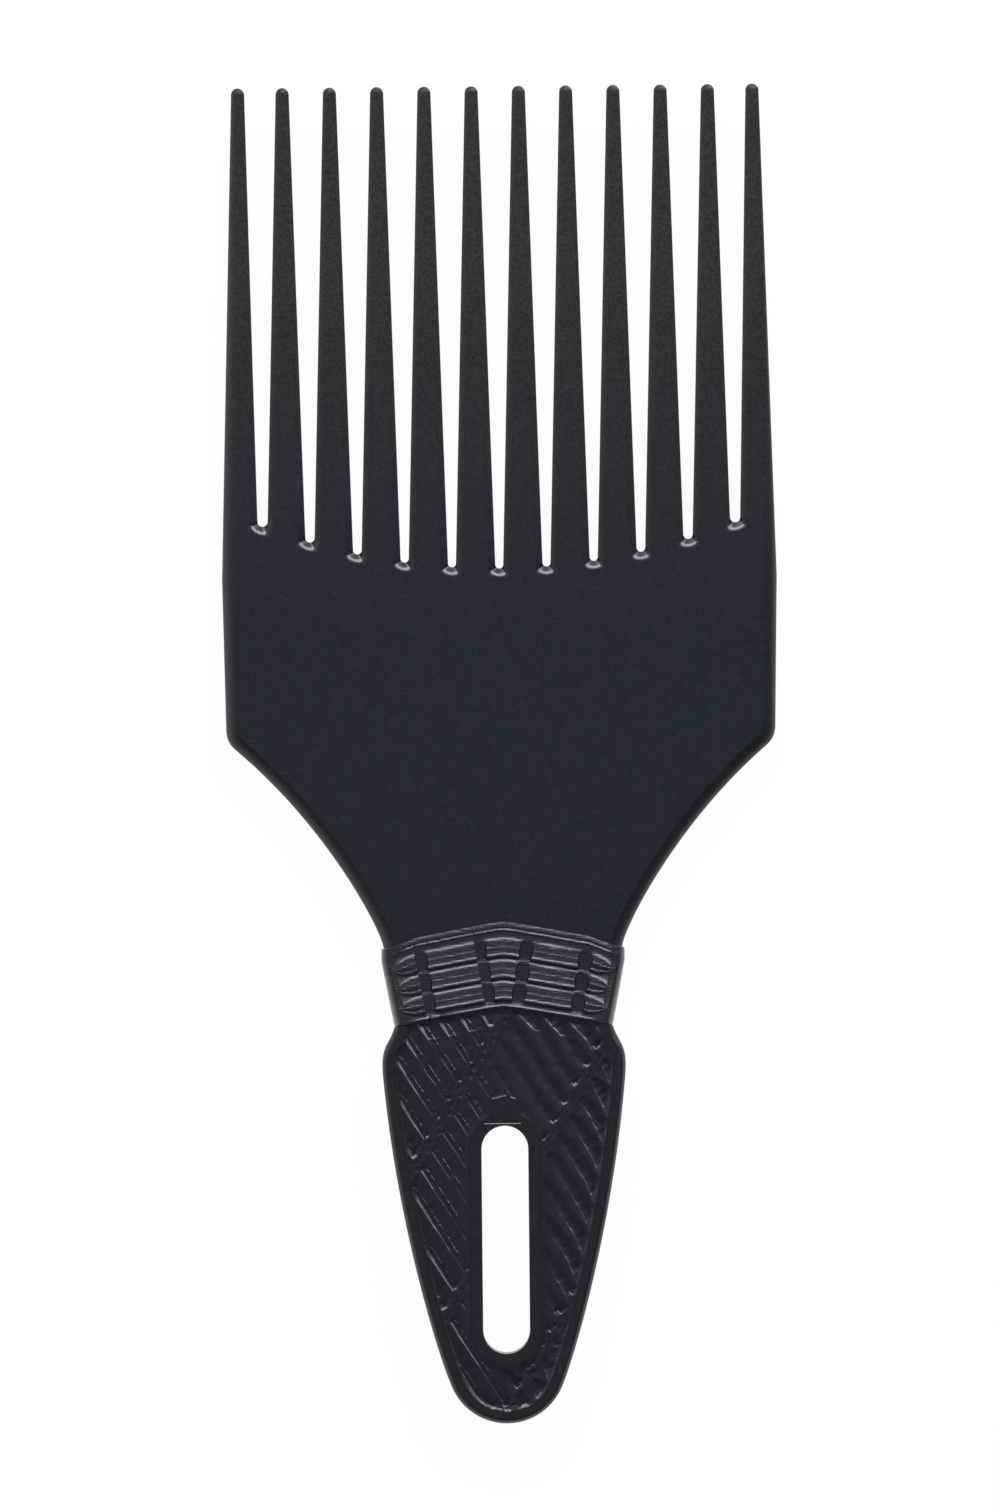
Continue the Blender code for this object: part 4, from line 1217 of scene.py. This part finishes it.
class Nodes:
    """Short way to write a node tree."""

    def __init__(self, tree):
        self.tree = tree

    def add(self, kind, inputs=None, **settings):
        node = self.tree.nodes.new(kind)
        for name, value in settings.items():
            setattr(node, name, value)
        for name, value in (inputs or {}).items():
            if isinstance(value, bpy.types.NodeSocket):
                self.tree.links.new(value, node.inputs[name])
            else:
                node.inputs[name].default_value = value
        return node

    def noise(self, vector, scale, detail, roughness=0.5):
        inputs = {"Vector": vector, "Scale": scale, "Detail": detail, "Roughness": roughness}
        return self.add("ShaderNodeTexNoise", inputs).outputs["Fac"]

    def spread(self, value, low, high, to_low=0.0, to_high=1.0):
        inputs = {"Value": value, "From Min": low, "From Max": high, "To Min": to_low, "To Max": to_high}
        return self.add("ShaderNodeMapRange", inputs).outputs["Result"]

    def sum(self, first, second):
        return self.add("ShaderNodeMath", {0: first, 1: second}, operation="ADD").outputs[0]

    def product(self, first, second):
        return self.add("ShaderNodeMath", {0: first, 1: second}, operation="MULTIPLY").outputs[0]

    def mix(self, share, first, second):
        inputs = {0: share, FIRST_COLOUR_SOCKET: first, FIRST_COLOUR_SOCKET + 1: second}
        node = self.add("ShaderNodeMix", inputs, data_type="RGBA")
        return node.outputs[MIXED_COLOUR_SOCKET]


def nylon(name, dark, light, roughness, grain, scratches, specks, streaks=0.0, tip_painted_light_colour=None):
    """Moulded black nylon: soft mottling, a fine grain, scratches that run across the comb, and on the
    blade painted light that makes the teeth lighter towards their tips.
    """
    material = bpy.data.materials.new(name)
    material.use_nodes = True
    tree = material.node_tree
    nodes = Nodes(tree)
    shader = tree.nodes["Principled BSDF"]
    where = nodes.add("ShaderNodeTexCoord").outputs["Object"]

    mottle = nodes.noise(where, *MOTTLE_NOISE)
    speckle = nodes.noise(where, *GRAIN_NOISE)
    stretched = nodes.add("ShaderNodeMapping", {"Vector": where, "Scale": STREAK_SCALES}).outputs[0]
    streak = nodes.noise(stretched, *STREAK_NOISE)
    patches = nodes.spread(nodes.noise(where, *PATCH_NOISE), *PATCH_SPAN)
    scratch = nodes.product(nodes.spread(streak, *STREAK_SPAN), patches)
    speck = nodes.spread(nodes.noise(where, *SPECK_NOISE), *SPECK_SPAN)

    colour = nodes.mix(nodes.spread(mottle, *MOTTLE_SPAN), dark, light)
    # Painted light: the base colour grows lighter up the teeth towards their tips, standing in for how
    # light falls there; the speckled grain over it is the nylon's own
    if tip_painted_light_colour:
        height = nodes.add("ShaderNodeSeparateXYZ", {"Vector": where}).outputs["Y"]
        rise = nodes.spread(height, *TIP_PAINTED_LIGHT_SPAN)
        grainy = nodes.spread(nodes.noise(where, *TIP_GRAIN_NOISE), *TIP_GRAIN_SPAN)
        light_tip = [value * TIP_GRAIN_GAIN for value in tip_painted_light_colour[:3]] + [1]
        speckled_tip = nodes.mix(grainy, tip_painted_light_colour, light_tip)
        colour = nodes.mix(rise, colour, speckled_tip)
    colour = nodes.mix(nodes.product(scratch, scratches), colour, SCRATCH_COLOUR)
    colour = nodes.mix(nodes.product(speck, specks), colour, SPECK_COLOUR)
    tree.links.new(colour, shader.inputs["Base Color"])

    shine = nodes.noise(where, *SHINE_NOISE)
    shine = nodes.spread(shine, *SHINE_SPAN, roughness - SHINE_LOSS, roughness + SHINE_GAIN)
    shine = nodes.sum(shine, nodes.product(scratch, SCRATCH_SHINE))
    tree.links.new(shine, shader.inputs["Roughness"])
    shader.inputs["Specular IOR Level"].default_value = NYLON_SPECULAR

    height = nodes.sum(nodes.product(speckle, grain), nodes.product(scratch, scratches * SCRATCH_GRAIN))
    height = nodes.sum(height, nodes.product(streak, streaks))
    settings = {"Strength": BUMP_STRENGTH, "Distance": BUMP_DISTANCE, "Height": height}
    bump = nodes.add("ShaderNodeBump", settings)
    tree.links.new(bump.outputs["Normal"], shader.inputs["Normal"])
    return material


def make_floor():
    """White ground that glows to the eye and in mirrors and clear matter, and keeps a faint shadow."""
    bm = bmesh.new()
    bmesh.ops.create_grid(bm, x_segments=1, y_segments=1, size=FLOOR_SIZE / 2)
    mesh = bpy.data.meshes.new("ground")
    bm.to_mesh(mesh)
    bm.free()
    ground = add_object("ground", mesh)
    ground.location.z = -FLOOR_DROP

    material = bpy.data.materials.new("white_ground")
    material.use_nodes = True
    tree = material.node_tree
    tree.nodes.clear()
    nodes = Nodes(tree)
    path = nodes.add("ShaderNodeLightPath")
    seen = nodes.sum(path.outputs["Is Camera Ray"], path.outputs["Is Glossy Ray"])
    seen = nodes.spread(nodes.sum(seen, path.outputs["Is Transmission Ray"]), 0, 1)
    glow = nodes.add("ShaderNodeEmission", {"Strength": nodes.product(seen, FLOOR_GLOW)})
    paint = nodes.add("ShaderNodeBsdfDiffuse", {"Color": FLOOR_COLOUR})
    both = nodes.add("ShaderNodeAddShader", {0: glow.outputs[0], 1: paint.outputs[0]})
    nodes.add("ShaderNodeOutputMaterial", {"Surface": both.outputs[0]})
    mesh.materials.append(material)
    return ground


def make_world():
    """White to the camera and through clear matter, and else a dim room, brighter towards the teeth."""
    world = bpy.data.worlds.new("room")
    bpy.context.scene.world = world
    world.use_nodes = True
    tree = world.node_tree
    tree.nodes.clear()
    nodes = Nodes(tree)
    direction = nodes.add("ShaderNodeTexCoord").outputs["Generated"]
    facing = nodes.add("ShaderNodeVectorMath", {0: direction, 1: ROOM_LIGHT_SIDE}, operation="DOT_PRODUCT")
    dim = nodes.spread(facing.outputs["Value"], ROOM_DARK_UNTIL, 1, ROOM_DARK, ROOM_BRIGHT)
    axes = nodes.add("ShaderNodeSeparateXYZ", {"Vector": direction})
    horizon = nodes.spread(axes.outputs["Z"], HORIZON_BAND_TOP, 0, 0, 1)
    side = nodes.spread(axes.outputs["X"], -1, 0, HORIZON_LEFT, HORIZON_ELSEWHERE)
    dim = nodes.sum(dim, nodes.product(horizon, side))
    path = nodes.add("ShaderNodeLightPath")
    room = nodes.add("ShaderNodeBackground", {"Color": ROOM_TINT, "Strength": dim})
    white = nodes.add("ShaderNodeBackground", {"Color": (1, 1, 1, 1), "Strength": WHITE})
    seen = nodes.sum(path.outputs["Is Camera Ray"], path.outputs["Is Transmission Ray"])
    chosen = nodes.add("ShaderNodeMixShader", {0: seen, 1: room.outputs[0], 2: white.outputs[0]})
    nodes.add("ShaderNodeOutputWorld", {"Surface": chosen.outputs[0]})


def make_lamp():
    """Rectangular lamp that faces the comb and isn't seen itself."""
    data = bpy.data.lights.new("tooth_side_softbox", "AREA")
    data.shape = "RECTANGLE"
    data.size, data.size_y = LAMP_SIZE
    data.energy = LAMP_RADIANCE * math.pi * LAMP_SIZE[0] * LAMP_SIZE[1]
    data.color = LAMP_TINT
    lamp = add_object("tooth_side_softbox", data)
    lamp.location = LAMP_PLACE
    lamp.rotation_euler = (-Vector(LAMP_PLACE)).to_track_quat("-Z", "Y").to_euler()
    lamp.visible_camera = False


def make_camera():
    """Camera straight above the comb, turned a little so that the comb leans."""
    data = bpy.data.cameras.new("camera")
    data.lens = CAMERA_LENS
    data.sensor_width = CAMERA_SENSOR
    data.clip_end = CAMERA_REACH
    camera = add_object("camera", data)
    camera.location = CAMERA_PLACE
    camera.rotation_euler = (0, 0, CAMERA_ROLL)
    bpy.context.scene.camera = camera


def main():
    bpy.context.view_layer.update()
    bpy.context.scene.view_settings.view_transform = "Standard"

    finishes = {slot: nylon(slot + "_finish", **values) for slot, values in FINISHES.items()}
    front_panel, rear_panel = make_panels()
    made = (
        (make_blade(), "comb_blade", "blade_nylon"),
        (make_collar(), "collar", "collar_nylon"),
        (make_handle(), "handle_body", "handle_nylon"),
        (front_panel, "front_grip_panel", "grip_nylon"),
        (rear_panel, "rear_grip_panel", "grip_nylon"),
    )
    for piece, node, slot in made:
        piece.data.materials.clear()
        piece.data.materials.append(finishes[slot])
        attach(piece, "root")
        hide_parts(node)

    make_floor()
    make_world()
    make_lamp()
    make_camera()


main()
